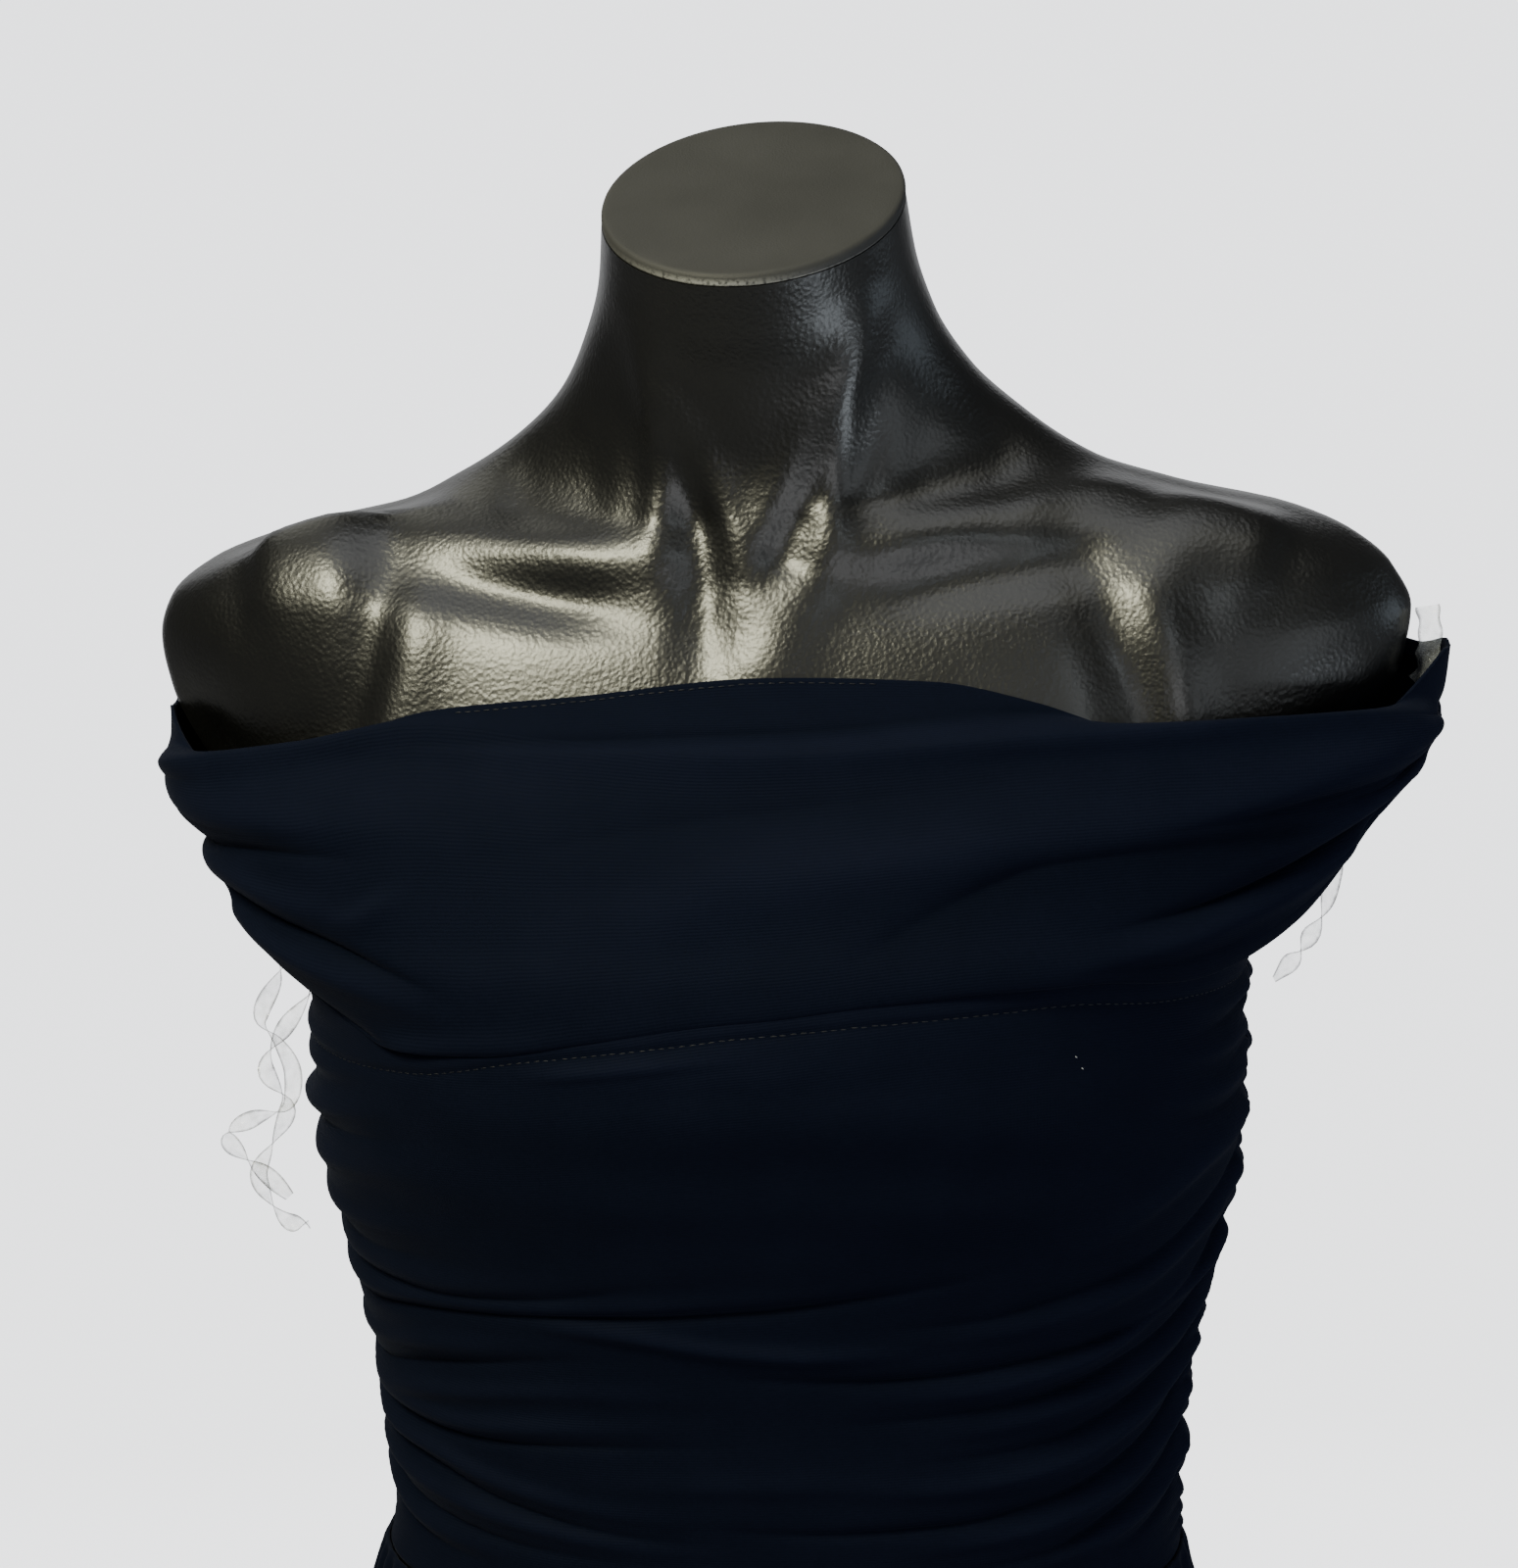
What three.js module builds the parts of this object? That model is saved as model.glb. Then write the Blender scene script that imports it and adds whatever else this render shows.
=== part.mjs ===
// An off-shoulder dress in gathered mesh jersey, worn by a limbless dress form on a round stand.
// Millimetres, +Z up, the front faces -Y. The origin is at the middle of the underside of the stand.
import * as THREE from "three";

// Driving dimensions
const CLOTH = 1.2; // thickness of the dress cloth
const SEAM_GAP = 0.3; // space between two pieces that meet at a seam
const CLEAR = 1.7; // space between the form and the inside of the bodice
const BUST_SEAM = 1199; // height at the sides of the seam that joins the band to the bodice
const WAIST_SEAM = 1000; // height of the seam that joins the bodice to the skirt
const HEM = 520; // height of the skirt's hem
const FORM_BOTTOM = 795; // height of the form's underside
const NECK_CAP = 4; // thickness of the plate on the neck
const BASE_RADIUS = 160;
const BASE_HEIGHT = 11;
const POLE_RADIUS = 12.5;
const SHOULDER_TILT = 0.022; // rise of the shoulder line for each millimetre towards +X
const TAPE_WIDTH = 6; // clear elastic hanging tape

// A table is rows of numbers under named columns, and its first column is the one it is read by.
function table(columns, rows) {
  return rows.map((row) => Object.fromEntries(columns.map((name, i) => [name, row[i]])));
}

// The body of the form, from its underside to the neck. lean tips a section, its back edge up.
const FORM = table(
  ["level", "halfWidth", "centre", "front", "back", "middle", "power", "lean"],
  [
    [FORM_BOTTOM, 148, 0, 86, 100, 8, 2.3, 0],
    [812, 160, 0, 95, 110, 8, 2.3, 0],
    [875, 168, 0, 100, 116, 8, 2.3, 0],
    [945, 149, -2, 95, 101, 6, 2.3, 0],
    [985, 134, -2, 88, 88, 4, 2.25, 0],
    [1015, 127, 0, 84, 82, 2, 2.2, 0],
    [1060, 130, 0, 86, 80, 0, 2.2, 0],
    [1110, 140, 1, 95, 83, 0, 2.2, 0],
    [1150, 147, 1, 108, 86, 0, 2.3, 0],
    [1185, 147, 1, 117, 88, 2, 2.35, 0],
    [1215, 152, 1, 115, 92, 4, 2.4, 0],
    [1245, 172, 1, 104, 92, 8, 2.4, 0],
    [1270, 189, 2, 94, 90, 10, 2.35, 0],
    [1293, 200, 2, 85, 86, 12, 2.2, 0],
    [1310, 203, 2, 78, 82, 12, 2.1, 0],
    [1323, 198, 1, 72, 78, 12, 2, 0],
    [1334, 185, 2, 67, 74, 12, 1.85, 0],
    [1343, 163, 5, 64, 70, 12, 1.7, 0],
    [1351, 128, 7, 61, 66, 11, 1.6, 0.01],
    [1360, 104, 3, 58, 62, 10, 1.62, 0.03],
    [1374, 82, 3, 55, 59, 8, 1.72, 0.07],
    [1390, 65.5, 1.5, 53, 56, 4, 1.85, 0.13],
    [1408, 55.5, 0, 52, 54, -1, 1.95, 0.19],
    [1426, 50, 0, 52, 53, -8, 2, 0.27],
    [1445.5, 47.5, 0, 53, 53, -15, 2, 0.345],
  ],
);

// The cloth of the band, which spans from the chest to the outsides of the shoulders.
const BAND = table(
  ["level", "halfWidth", "centre", "front", "back", "middle", "power"],
  [
    [1180, 151, 1, 122, 93, 2, 2.35],
    [1199, 154.5, 2, 121.5, 95, 3, 2.37],
    [1207, 162, 3, 121, 97, 4, 2.38],
    [1220, 174, 3.5, 119, 99, 5, 2.4],
    [1232, 181, 4.5, 116, 99.5, 7, 2.4],
    [1246, 189, 4.5, 112, 100, 8, 2.4],
    [1258, 197.5, 5.5, 108, 100, 9, 2.4],
    [1271, 204, 6, 102.5, 98.5, 10, 2.35],
    [1285, 206.5, 6.5, 96.5, 95.5, 12, 2.22],
    [1300, 209, 7, 89.5, 92, 12, 2.15],
    [1315, 206, 7, 83, 88.5, 12, 2.1],
  ],
);

// The skirt. flute is how far its soft upright folds stand out.
const SKIRT = table(
  ["level", "halfWidth", "centre", "front", "back", "middle", "power", "flute"],
  [
    [HEM, 214, 0, 165, 180, 8, 2.1, 6],
    [640, 206, 0, 150, 165, 8, 2.15, 4.6],
    [760, 192, 0, 132, 146, 8, 2.2, 3.4],
    [875, 177, 0, 113, 128, 8, 2.3, 2.1],
    [945, 155, -2, 102, 108, 6, 2.3, 1.4],
    [985, 137.4, -2, 92.4, 92.4, 4, 2.25, 0.7],
    [WAIST_SEAM, 133.2, -1.2, 88.8, 87.8, 3, 2.23, 0.3],
  ],
);

// Edges of the front, from its left end (angle 0) round the chest to its right end (180).
// The bodice stops at bodiceTop, behind the band's bottom edge. The band turns back over roll,
// by tuck, and ends at top.
const FRONT_EDGES = table(
  ["angle", "bodiceTop", "bottom", "roll", "top", "tuck"],
  [
    [0, 1201, 1243, 1268, 1288, 1.2],
    [12, 1202, 1226, 1272, 1283, 3],
    [32, 1204, 1201, 1280, 1275, 3.4],
    [46, 1200.5, 1195.5, 1286, 1282, 3],
    [62, 1202.5, 1197.5, 1294, 1298, 1],
    [76, 1207.5, 1203, 1290, 1303, 0],
    [90, 1214.5, 1209.5, 1286, 1307.5, 0.6],
    [103, 1219, 1214.5, 1288, 1305, 2.2],
    [112, 1220.5, 1216, 1289.5, 1297.5, 3.2],
    [122, 1220.5, 1216, 1289.5, 1286, 3.4],
    [142, 1216, 1211.5, 1287.5, 1280, 3.4],
    [160, 1210, 1222, 1283, 1285, 3],
    [170, 1207, 1238, 1279, 1293, 1.6],
    [180, 1206, 1257, 1276, 1300, -1.2],
  ],
);

// Edges of the back, from its right end (angle 0) to its left end (180).
const BACK_EDGES = table(
  ["angle", "bodiceTop", "bottom", "roll", "top", "tuck"],
  [
    [0, 1206, 1257, 1276, 1300, -1.2],
    [16, 1208, 1226, 1283, 1293, 1.4],
    [34, 1211, 1206, 1287, 1293, 0.8],
    [60, 1211, 1206, 1284, 1296, 0],
    [90, 1210, 1205, 1282, 1297, 0],
    [120, 1208, 1203, 1282, 1295, 0],
    [146, 1206, 1201, 1281, 1289, 0.8],
    [164, 1203, 1220, 1275, 1284, 2],
    [180, 1201, 1243, 1268, 1288, 1.2],
  ],
);

// Folds run along a sagging line from one angle and height to another. They start full and fade out.
const FOLD_COLUMNS = ["from", "fromHeight", "to", "toHeight", "sag", "width", "depth"];

const BAND_FRONT_FOLDS = table(FOLD_COLUMNS, [
  [2, 1243, 60, 1241, 4, 5, -3.2],
  [2, 1252, 66, 1256, -1, 8, 2.6],
  [8, 1231, 70, 1206, 2, 4, -3.4],
  [10, 1240, 58, 1229, 3, 6, 2.6],
  [178, 1266, 96, 1228, 2, 9, 3],
  [178, 1262, 112, 1249, 5, 6, -2.4],
  [172, 1246, 124, 1222, 3, 4, -3.4],
  [174, 1252, 112, 1240, 2, 6, 2.4],
  [150, 1212, 84, 1212, 6, 8, 2.2],
]);

const BAND_BACK_FOLDS = table(FOLD_COLUMNS, [
  [2, 1266, 76, 1246, 3, 8, 2.8],
  [4, 1252, 56, 1234, 4, 5, -2.8],
  [12, 1236, 62, 1216, 3, 6, 2.4],
  [178, 1256, 112, 1250, 3, 8, 2.8],
  [176, 1246, 126, 1230, 3, 5, -2.8],
  [168, 1230, 118, 1214, 2, 6, 2.4],
]);

const BODICE_FRONT_FOLDS = table(FOLD_COLUMNS, [
  [0, 1180, 42, 1183, -2, 5, 4.6],
  [0, 1166, 38, 1176, -2, 5, 5],
  [0, 1152, 44, 1166, 0, 8, 4.5],
  [0, 1124, 104, 1113, 14, 5, 3.2],
  [0, 1108, 96, 1098, 15, 4, 3.4],
  [0, 1088, 118, 1092, 14, 5, 3.8],
  [0, 1070, 104, 1060, 16, 5, 3.6],
  [0, 1052, 110, 1040, 16, 4.5, 3.6],
  [0, 1036, 84, 1014, 6, 4.5, 3.4],
  [180, 1186, 150, 1190, -2, 4, 3.2],
  [180, 1160, 146, 1152, 0, 5, 3],
  [180, 1134, 88, 1114, 8, 5, 3.4],
  [180, 1112, 82, 1098, 12, 4.5, 3.6],
  [180, 1092, 74, 1080, 14, 5, 4],
  [180, 1068, 84, 1052, 16, 5, 4.2],
  [180, 1046, 92, 1034, 14, 4.5, 4],
  [180, 1030, 120, 1012, 4, 4.5, 3.6],
]);

const BODICE_BACK_FOLDS = table(FOLD_COLUMNS, [
  [0, 1176, 48, 1170, 2, 5, 3.6],
  [0, 1140, 92, 1122, 10, 5, 3.4],
  [0, 1104, 104, 1092, 14, 5, 3.8],
  [0, 1066, 98, 1056, 15, 5, 3.8],
  [0, 1034, 88, 1018, 8, 4.5, 3.4],
  [180, 1184, 136, 1176, 2, 5, 3.6],
  [180, 1156, 100, 1140, 8, 5, 3.4],
  [180, 1122, 82, 1108, 12, 5, 3.6],
  [180, 1084, 76, 1074, 14, 5, 3.8],
  [180, 1048, 84, 1034, 14, 4.5, 3.8],
]);

// Small maths
const radians = THREE.MathUtils.degToRad;
const lerp = THREE.MathUtils.lerp;
const clamp = THREE.MathUtils.clamp;
const smooth = (t) => THREE.MathUtils.smoothstep(t, 0, 1); // 0 below 0, 1 above 1
const signedPower = (value, exponent) => Math.sign(value) * Math.abs(value) ** exponent;

// A column of a table at any place between its rows, with no overshoot.
function read(rows, column, at) {
  const key = Object.keys(rows[0])[0];
  const last = rows.length - 1;
  if (at <= rows[0][key]) return rows[0][column];
  if (at >= rows[last][key]) return rows[last][column];
  let i = 0;
  while (at > rows[i + 1][key]) i += 1;
  const slope = (k) => (rows[k + 1][column] - rows[k][column]) / (rows[k + 1][key] - rows[k][key]);
  const tangent = (k) => {
    const before = slope(Math.max(k - 1, 0));
    const after = slope(Math.min(k, last - 1));
    return before * after <= 0 ? 0 : (2 * before * after) / (before + after);
  };
  const width = rows[i + 1][key] - rows[i][key];
  const t = (at - rows[i][key]) / width;
  const rise = rows[i + 1][column] - rows[i][column];
  const bend = (tangent(i) * (1 - t) - tangent(i + 1) * t) * width;
  return rows[i][column] + rise * smooth(t) + t * (1 - t) * bend;
}

// The figure leans on one hip, so each section above the waist climbs a little towards +X.
function climb(x, level) {
  return x * SHOULDER_TILT * smooth((level - WAIST_SEAM) / (BUST_SEAM - WAIST_SEAM));
}

// A point of a section table at an angle from +X, moved out in plan.
function sectionPoint(rows, angle, level, outward) {
  const halfWidth = read(rows, "halfWidth", level);
  const centre = read(rows, "centre", level);
  const reach = read(rows, Math.sin(angle) < 0 ? "front" : "back", level);
  const middle = read(rows, "middle", level);
  const power = read(rows, "power", level);
  const along = Math.cos(angle);
  const across = Math.sin(angle);
  const normal = new THREE.Vector2(
    signedPower(along, (2 * (power - 1)) / power) / halfWidth,
    signedPower(across, (2 * (power - 1)) / power) / reach,
  ).normalize();
  const x = centre + halfWidth * signedPower(along, 2 / power) + normal.x * outward;
  const y = middle + reach * signedPower(across, 2 / power) + normal.y * outward;
  return new THREE.Vector3(x, y, level + climb(x, level));
}

// How far the folds of a table push the cloth out at an angle and a height.
const FOLD_FULL = 0.35; // share of its length over which a fold keeps its whole depth

function foldRise(folds, angle, level) {
  let rise = 0;
  for (const fold of folds) {
    const t = (angle - fold.from) / (fold.to - fold.from);
    if (t < 0 || t > 1) continue;
    const line = lerp(fold.fromHeight, fold.toHeight, t) - fold.sag * 4 * t * (1 - t);
    const away = (level - line) / fold.width;
    const fade = 1 - smooth((t - FOLD_FULL) / (1 - FOLD_FULL));
    rise += fold.depth * fade * Math.exp(-away * away);
  }
  return rise;
}

// Puffs of cloth between the stitches of a gathered seam: so many along it, so high, and dying out
// away from it over their reach. Slow waves keep them from being evenly spaced or equally high.
function gatherRise(share, fromSeam, { count, reach, height }) {
  const wander = 0.35 * Math.sin(share * 10.4) + 0.2 * Math.sin(share * 24.8);
  const puff = Math.abs(Math.sin(Math.PI * (share * count + wander)));
  const uneven = 0.75 + 0.25 * Math.sin(share * 23 + 1);
  return height * uneven * puff * Math.exp(-fromSeam / reach);
}

// One closed solid from a list of vertices and a list of faces, turned to point out.
function solid(vertices, faces) {
  let volume = 0;
  for (const [a, b, c] of faces) {
    volume += vertices[a].dot(new THREE.Vector3().crossVectors(vertices[b], vertices[c]));
  }
  const turned = volume < 0 ? faces.map(([a, b, c]) => [a, c, b]) : faces;
  const geometry = new THREE.BufferGeometry().setFromPoints(vertices);
  geometry.setIndex(turned.flat());
  geometry.computeVertexNormals();
  return geometry;
}

// A wall of cloth round a sheet of middle points: sheet[row][column].
function clothWall(sheet) {
  const rows = sheet.length;
  const columns = sheet[0].length;
  const normalAt = (r, c) => {
    const up = sheet[Math.min(r + 1, rows - 1)][c].clone().sub(sheet[Math.max(r - 1, 0)][c]);
    const along = sheet[r][Math.min(c + 1, columns - 1)].clone().sub(sheet[r][Math.max(c - 1, 0)]);
    const normal = along.cross(up);
    if (c === 0 || c === columns - 1) normal.y = 0; // the ends face each other across a side seam
    return normal.normalize();
  };
  const vertices = [];
  for (const side of [0.5, -0.5]) {
    for (let r = 0; r < rows; r += 1) {
      for (let c = 0; c < columns; c += 1) {
        vertices.push(sheet[r][c].clone().addScaledVector(normalAt(r, c), side * CLOTH));
      }
    }
  }
  const at = (r, c, side) => side * rows * columns + r * columns + c;
  const faces = [];
  const quad = (a, b, c, d) => faces.push([a, b, c], [a, c, d]);
  for (let r = 0; r < rows - 1; r += 1) {
    for (let c = 0; c < columns - 1; c += 1) {
      quad(at(r, c, 0), at(r, c + 1, 0), at(r + 1, c + 1, 0), at(r + 1, c, 0));
      quad(at(r, c, 1), at(r + 1, c, 1), at(r + 1, c + 1, 1), at(r, c + 1, 1));
    }
    quad(at(r, 0, 0), at(r + 1, 0, 0), at(r + 1, 0, 1), at(r, 0, 1));
    quad(at(r, columns - 1, 0), at(r, columns - 1, 1), at(r + 1, columns - 1, 1), at(r + 1, columns - 1, 0));
  }
  for (let c = 0; c < columns - 1; c += 1) {
    quad(at(0, c, 0), at(0, c, 1), at(0, c + 1, 1), at(0, c + 1, 0));
    quad(at(rows - 1, c, 0), at(rows - 1, c + 1, 0), at(rows - 1, c + 1, 1), at(rows - 1, c, 1));
  }
  return solid(vertices, faces);
}

// A closed loft through rings of points, with a flat lid at each end.
function loft(rings) {
  const count = rings[0].length;
  const vertices = rings.flat();
  const faces = [];
  for (let r = 0; r < rings.length - 1; r += 1) {
    for (let i = 0; i < count; i += 1) {
      const a = r * count + i;
      const b = r * count + ((i + 1) % count);
      faces.push([a, b, b + count], [a, b + count, a + count]);
    }
  }
  for (const [start, flip] of [[0, true], [(rings.length - 1) * count, false]]) {
    for (let i = 1; i < count - 1; i += 1) {
      faces.push(flip ? [start, start + i + 1, start + i] : [start, start + i, start + i + 1]);
    }
  }
  return solid(vertices, faces);
}

// Steps from 0 to 1 that crowd towards both ends.
function crowded(count, crowding) {
  return Array.from({ length: count + 1 }, (_, i) => {
    const t = i / count;
    return lerp(t, (1 - Math.cos(Math.PI * t)) / 2, crowding);
  });
}

const steps = (count) => Array.from({ length: count + 1 }, (_, i) => i / count);

// The form
const FORM_SIDES = 30;
const NECK_LEVEL = FORM[FORM.length - 1].level;

function formRing(level, outward, lift) {
  const lean = read(FORM, "lean", level);
  const middle = read(FORM, "middle", level);
  return Array.from({ length: FORM_SIDES }, (_, i) => {
    const point = sectionPoint(FORM, (2 * Math.PI * i) / FORM_SIDES, level, outward);
    point.z += lean * (point.y - middle) + lift;
    return point;
  });
}

function formBody() {
  const levels = [FORM_BOTTOM];
  FORM.slice(1).forEach((row, i) => {
    const start = FORM[i].level;
    const spacing = start < WAIST_SEAM ? 30 : start < BUST_SEAM ? 18 : 10;
    const count = Math.ceil((row.level - start) / spacing);
    for (let k = 1; k <= count; k += 1) levels.push(lerp(start, row.level, k / count));
  });
  return loft(levels.map((level) => formRing(level, 0, 0)));
}

function neckCap() {
  const edge = 1.2; // height of its bevelled edge
  const taper = 0.4;
  return loft([
    formRing(NECK_LEVEL, -taper / 2, SEAM_GAP),
    formRing(NECK_LEVEL, 0, SEAM_GAP + edge),
    formRing(NECK_LEVEL, -taper, NECK_CAP - edge),
    formRing(NECK_LEVEL, -edge - taper, NECK_CAP),
  ]);
}

// The band. The sheet's first rows climb the outside and its last rows turn back over the roll.
const BAND_ROWS = 11;
const ROLL_ROWS = 5;
const BAND_LENGTH = 480; // along one panel, from side to side
const BAND_PUFFS = { count: 5, reach: 26, height: 4 };
const BAND_CALM = 19; // from a seam to where the folds have their whole depth
const SHOULDER_HALF_WIDTH = 190;
const SEAM_TURN = SEAM_GAP / SHOULDER_HALF_WIDTH; // radians that a panel leaves free beside a side seam
const LIP_WIDTH = 6; // half height of the swelling under the roll
const LIP_SHARE = 0.7; // of the tuck
const ROLL_BULGE = 0.8; // of the tuck
const END_ROUND = 3; // how much the top edge is rounded off at a shoulder seam
const END_ROUND_REACH = 7; // and how far from it
const TURN_EASE = 1.4; // above 1, rows crowd just above the roll
const TUCK_PACE = 1.6; // above 1, the tuck is reached below the top edge
const PUFF_DRIFT = 0.14; // share of a panel's height by which the puffs go on over the roll

function bandSheet(edges, folds, turn, columns) {
  const shares = crowded(columns, 0.5);
  const rowAt = (r) => (share) => {
    const angle = 180 * share;
    const roll = read(edges, "roll", angle);
    const tuck = read(edges, "tuck", angle);
    const fromSeam = Math.min(share, 1 - share) * BAND_LENGTH;
    const top = read(edges, "top", angle) - END_ROUND * Math.exp(-((fromSeam / END_ROUND_REACH) ** 2));
    const climbed = clamp(r / BAND_ROWS, 0, 1);
    const over = clamp((r - BAND_ROWS) / ROLL_ROWS, 0, 1);
    const bulge = ROLL_BULGE * tuck * Math.sin(Math.PI * over) * (1 - over);
    const climbing = lerp(read(edges, "bottom", angle), roll, climbed);
    const turning = lerp(roll, top, over ** TURN_EASE) + bulge;
    const level = over > 0 ? turning : climbing;
    const gathered = gatherRise(lerp(climbed, over, PUFF_DRIFT), fromSeam, BAND_PUFFS);
    const creases = foldRise(folds, angle, level) * smooth(fromSeam / BAND_CALM);
    const lip = LIP_SHARE * tuck * Math.exp(-(((level - roll) / LIP_WIDTH) ** 2));
    const outward = (gathered + creases + lip) * (1 - over) - tuck * smooth(over * TUCK_PACE);
    const place = radians(turn) + lerp(SEAM_TURN, Math.PI - SEAM_TURN, share);
    return sectionPoint(BAND, place, level, outward);
  };
  return Array.from({ length: BAND_ROWS + ROLL_ROWS + 1 }, (_, r) => shares.map(rowAt(r)));
}

// The bodice, gathered into both side seams.
const BODICE_ROWS = 32;
const BODICE_LENGTH = 400; // along one panel, from side to side
const BODICE_PUFFS = { count: 15, reach: 17, height: 4.5 };
const BODICE_CALM = 12; // from a seam to where the folds have their whole depth
const WAIST_HOLD = 0.06; // shares of the height over which the two seams hold the cloth flat
const BUST_HOLD = 0.1;

function bodiceSheet(edges, folds, turn, columns) {
  const shares = crowded(columns, 0.75);
  const rowAt = (up) => (share) => {
    const angle = 180 * share;
    const level = lerp(WAIST_SEAM + SEAM_GAP, read(edges, "bodiceTop", angle), up);
    const fromSeam = Math.min(share, 1 - share) * BODICE_LENGTH;
    const ends = smooth(up / WAIST_HOLD) * smooth((1 - up) / BUST_HOLD);
    const gathered = gatherRise(up, fromSeam, BODICE_PUFFS) * ends;
    const creases = foldRise(folds, angle, level) * ends * smooth(fromSeam / BODICE_CALM);
    const place = radians(turn) + lerp(SEAM_TURN, Math.PI - SEAM_TURN, share);
    return sectionPoint(FORM, place, level, CLEAR + CLOTH / 2 + gathered + creases);
  };
  return steps(BODICE_ROWS).map((up) => shares.map(rowAt(up)));
}

// The skirt, softly gathered at the waist and open at the hem.
const SKIRT_ROWS = 10;
const FLUTES = 7; // soft folds round one panel
const FLUTE_START = 1 / 14; // share of the width over which they begin beside a seam
const DRAPE = 1.3; // above 1, rows crowd towards the hem

function skirtSheet(turn, columns) {
  const pointAt = (up) => (share) => {
    const level = lerp(HEM, WAIST_SEAM - SEAM_GAP / 2, 1 - (1 - up) ** DRAPE);
    const wander = 0.25 * Math.sin(share * 7 + turn);
    const wave = Math.cos(2 * Math.PI * (share * FLUTES + wander));
    const begun = smooth(Math.min(share, 1 - share) / FLUTE_START);
    const outward = read(SKIRT, "flute", level) * wave * begun;
    const place = radians(turn) + lerp(SEAM_TURN, Math.PI - SEAM_TURN, share);
    return sectionPoint(SKIRT, place, level, outward);
  };
  return steps(SKIRT_ROWS).map((up) => steps(columns).map(pointAt(up)));
}

// The stand
function turned(profile, segments) {
  const points = profile.map(([radius, height]) => new THREE.Vector2(radius, height));
  const geometry = new THREE.LatheGeometry(points, segments);
  geometry.rotateX(Math.PI / 2);
  return geometry;
}

function standBase() {
  const rim = 3; // its bevel
  const fall = 3; // from the flat middle to the edge
  const flatRadius = 30;
  const profile = [
    [0, 0],
    [BASE_RADIUS - rim, 0],
    [BASE_RADIUS, rim],
    [BASE_RADIUS, BASE_HEIGHT - fall - rim],
    [BASE_RADIUS - rim, BASE_HEIGHT - fall],
    [flatRadius, BASE_HEIGHT],
    [0, BASE_HEIGHT],
  ];
  return turned(profile, 48);
}

function standPole() {
  const foot = BASE_HEIGHT + SEAM_GAP;
  const top = FORM_BOTTOM - SEAM_GAP;
  const flange = { radius: 26, height: 6 };
  const collar = { radius: POLE_RADIUS + 4, height: 14, bevel: 2 };
  const profile = [
    [0, foot],
    [flange.radius, foot],
    [flange.radius, foot + flange.height],
    [collar.radius, foot + collar.height],
    [POLE_RADIUS, foot + collar.height + collar.bevel],
    [POLE_RADIUS, top],
    [0, top],
  ];
  return turned(profile, 24);
}

// Clear hanging tapes: each route's points in order, from the seam that holds it to its free end.
const POINT_COLUMNS = ["x", "y", "z"];

const TAPE_LEFT_OUTER = table(POINT_COLUMNS, [
  [-163, 6, 1200],
  [-167, 4, 1189],
  [-173, 4, 1175],
  [-167, 2, 1168],
  [-162, 0, 1158],
  [-164, -2, 1147],
  [-175, -4, 1143],
  [-184, -6, 1138],
  [-179, -5, 1130],
  [-171, -4, 1123],
  [-164, -4, 1116],
]);

const TAPE_LEFT_INNER = table(POINT_COLUMNS, [
  [-153, 14, 1193],
  [-158, 14, 1181],
  [-168, 14, 1168],
  [-174, 13, 1155],
  [-167, 12, 1143],
  [-172, 10, 1130],
  [-177, 8, 1120],
  [-174, 7, 1112],
  [-167, 6, 1104],
  [-160, 6, 1103],
]);

const TAPE_RIGHT = table(POINT_COLUMNS, [
  [183, 12, 1236],
  [181, 12, 1227],
  [178, 12, 1214],
  [170, 11, 1200],
  [162, 10, 1191],
]);

function tape(route) {
  const points = route.map((row) => new THREE.Vector3(row.x, row.y, row.z));
  const path = new THREE.CatmullRomCurve3(points, false, "centripetal");
  const section = new THREE.Shape();
  section.absarc(0, 0, TAPE_WIDTH / 2, 0, 2 * Math.PI);
  return new THREE.ExtrudeGeometry(section, {
    steps: points.length,
    extrudePath: path,
    curveSegments: 4,
  });
}

// Materials
const finish = (color, roughness, metalness, more = {}) =>
  new THREE.MeshStandardMaterial({ color, roughness, metalness, ...more });
const NAVY = finish(0x131c38, 0.85, 0);
const BLACK = finish(0x191a19, 0.38, 0);
const MATT_BLACK = finish(0x2b2b2a, 0.7, 0);
const STEEL = finish(0x8d9094, 0.3, 1);
const CLEAR_TAPE = finish(0xe8ecee, 0.1, 0, { transparent: true, opacity: 0.35 });

const dress = new THREE.Group();

function place(name, geometry, material) {
  const mesh = new THREE.Mesh(geometry, material);
  mesh.name = name;
  dress.add(mesh);
}

const FRONT = 180;
const BACK = 0;
place("form_body", formBody(), BLACK);
place("neck_cap", neckCap(), MATT_BLACK);
place("stand_pole", standPole(), STEEL);
place("stand_base", standBase(), STEEL);
place("band_front", clothWall(bandSheet(FRONT_EDGES, BAND_FRONT_FOLDS, FRONT, 40)), NAVY);
place("band_back", clothWall(bandSheet(BACK_EDGES, BAND_BACK_FOLDS, BACK, 26)), NAVY);
place("bodice_front", clothWall(bodiceSheet(FRONT_EDGES, BODICE_FRONT_FOLDS, FRONT, 24)), NAVY);
place("bodice_back", clothWall(bodiceSheet(BACK_EDGES, BODICE_BACK_FOLDS, BACK, 18)), NAVY);
place("skirt_front", clothWall(skirtSheet(FRONT, 30)), NAVY);
place("skirt_back", clothWall(skirtSheet(BACK, 30)), NAVY);
place("tape_left_outer", tape(TAPE_LEFT_OUTER), CLEAR_TAPE);
place("tape_left_inner", tape(TAPE_LEFT_INNER), CLEAR_TAPE);
place("tape_right", tape(TAPE_RIGHT), CLEAR_TAPE);

export default dress;
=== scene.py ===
"""An off-shoulder dress in gathered mesh jersey on a limbless dress form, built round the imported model.

Tables are in millimetres, +Z up, and the front faces -Y. Every mesh is in metres.
"""

import math

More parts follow.
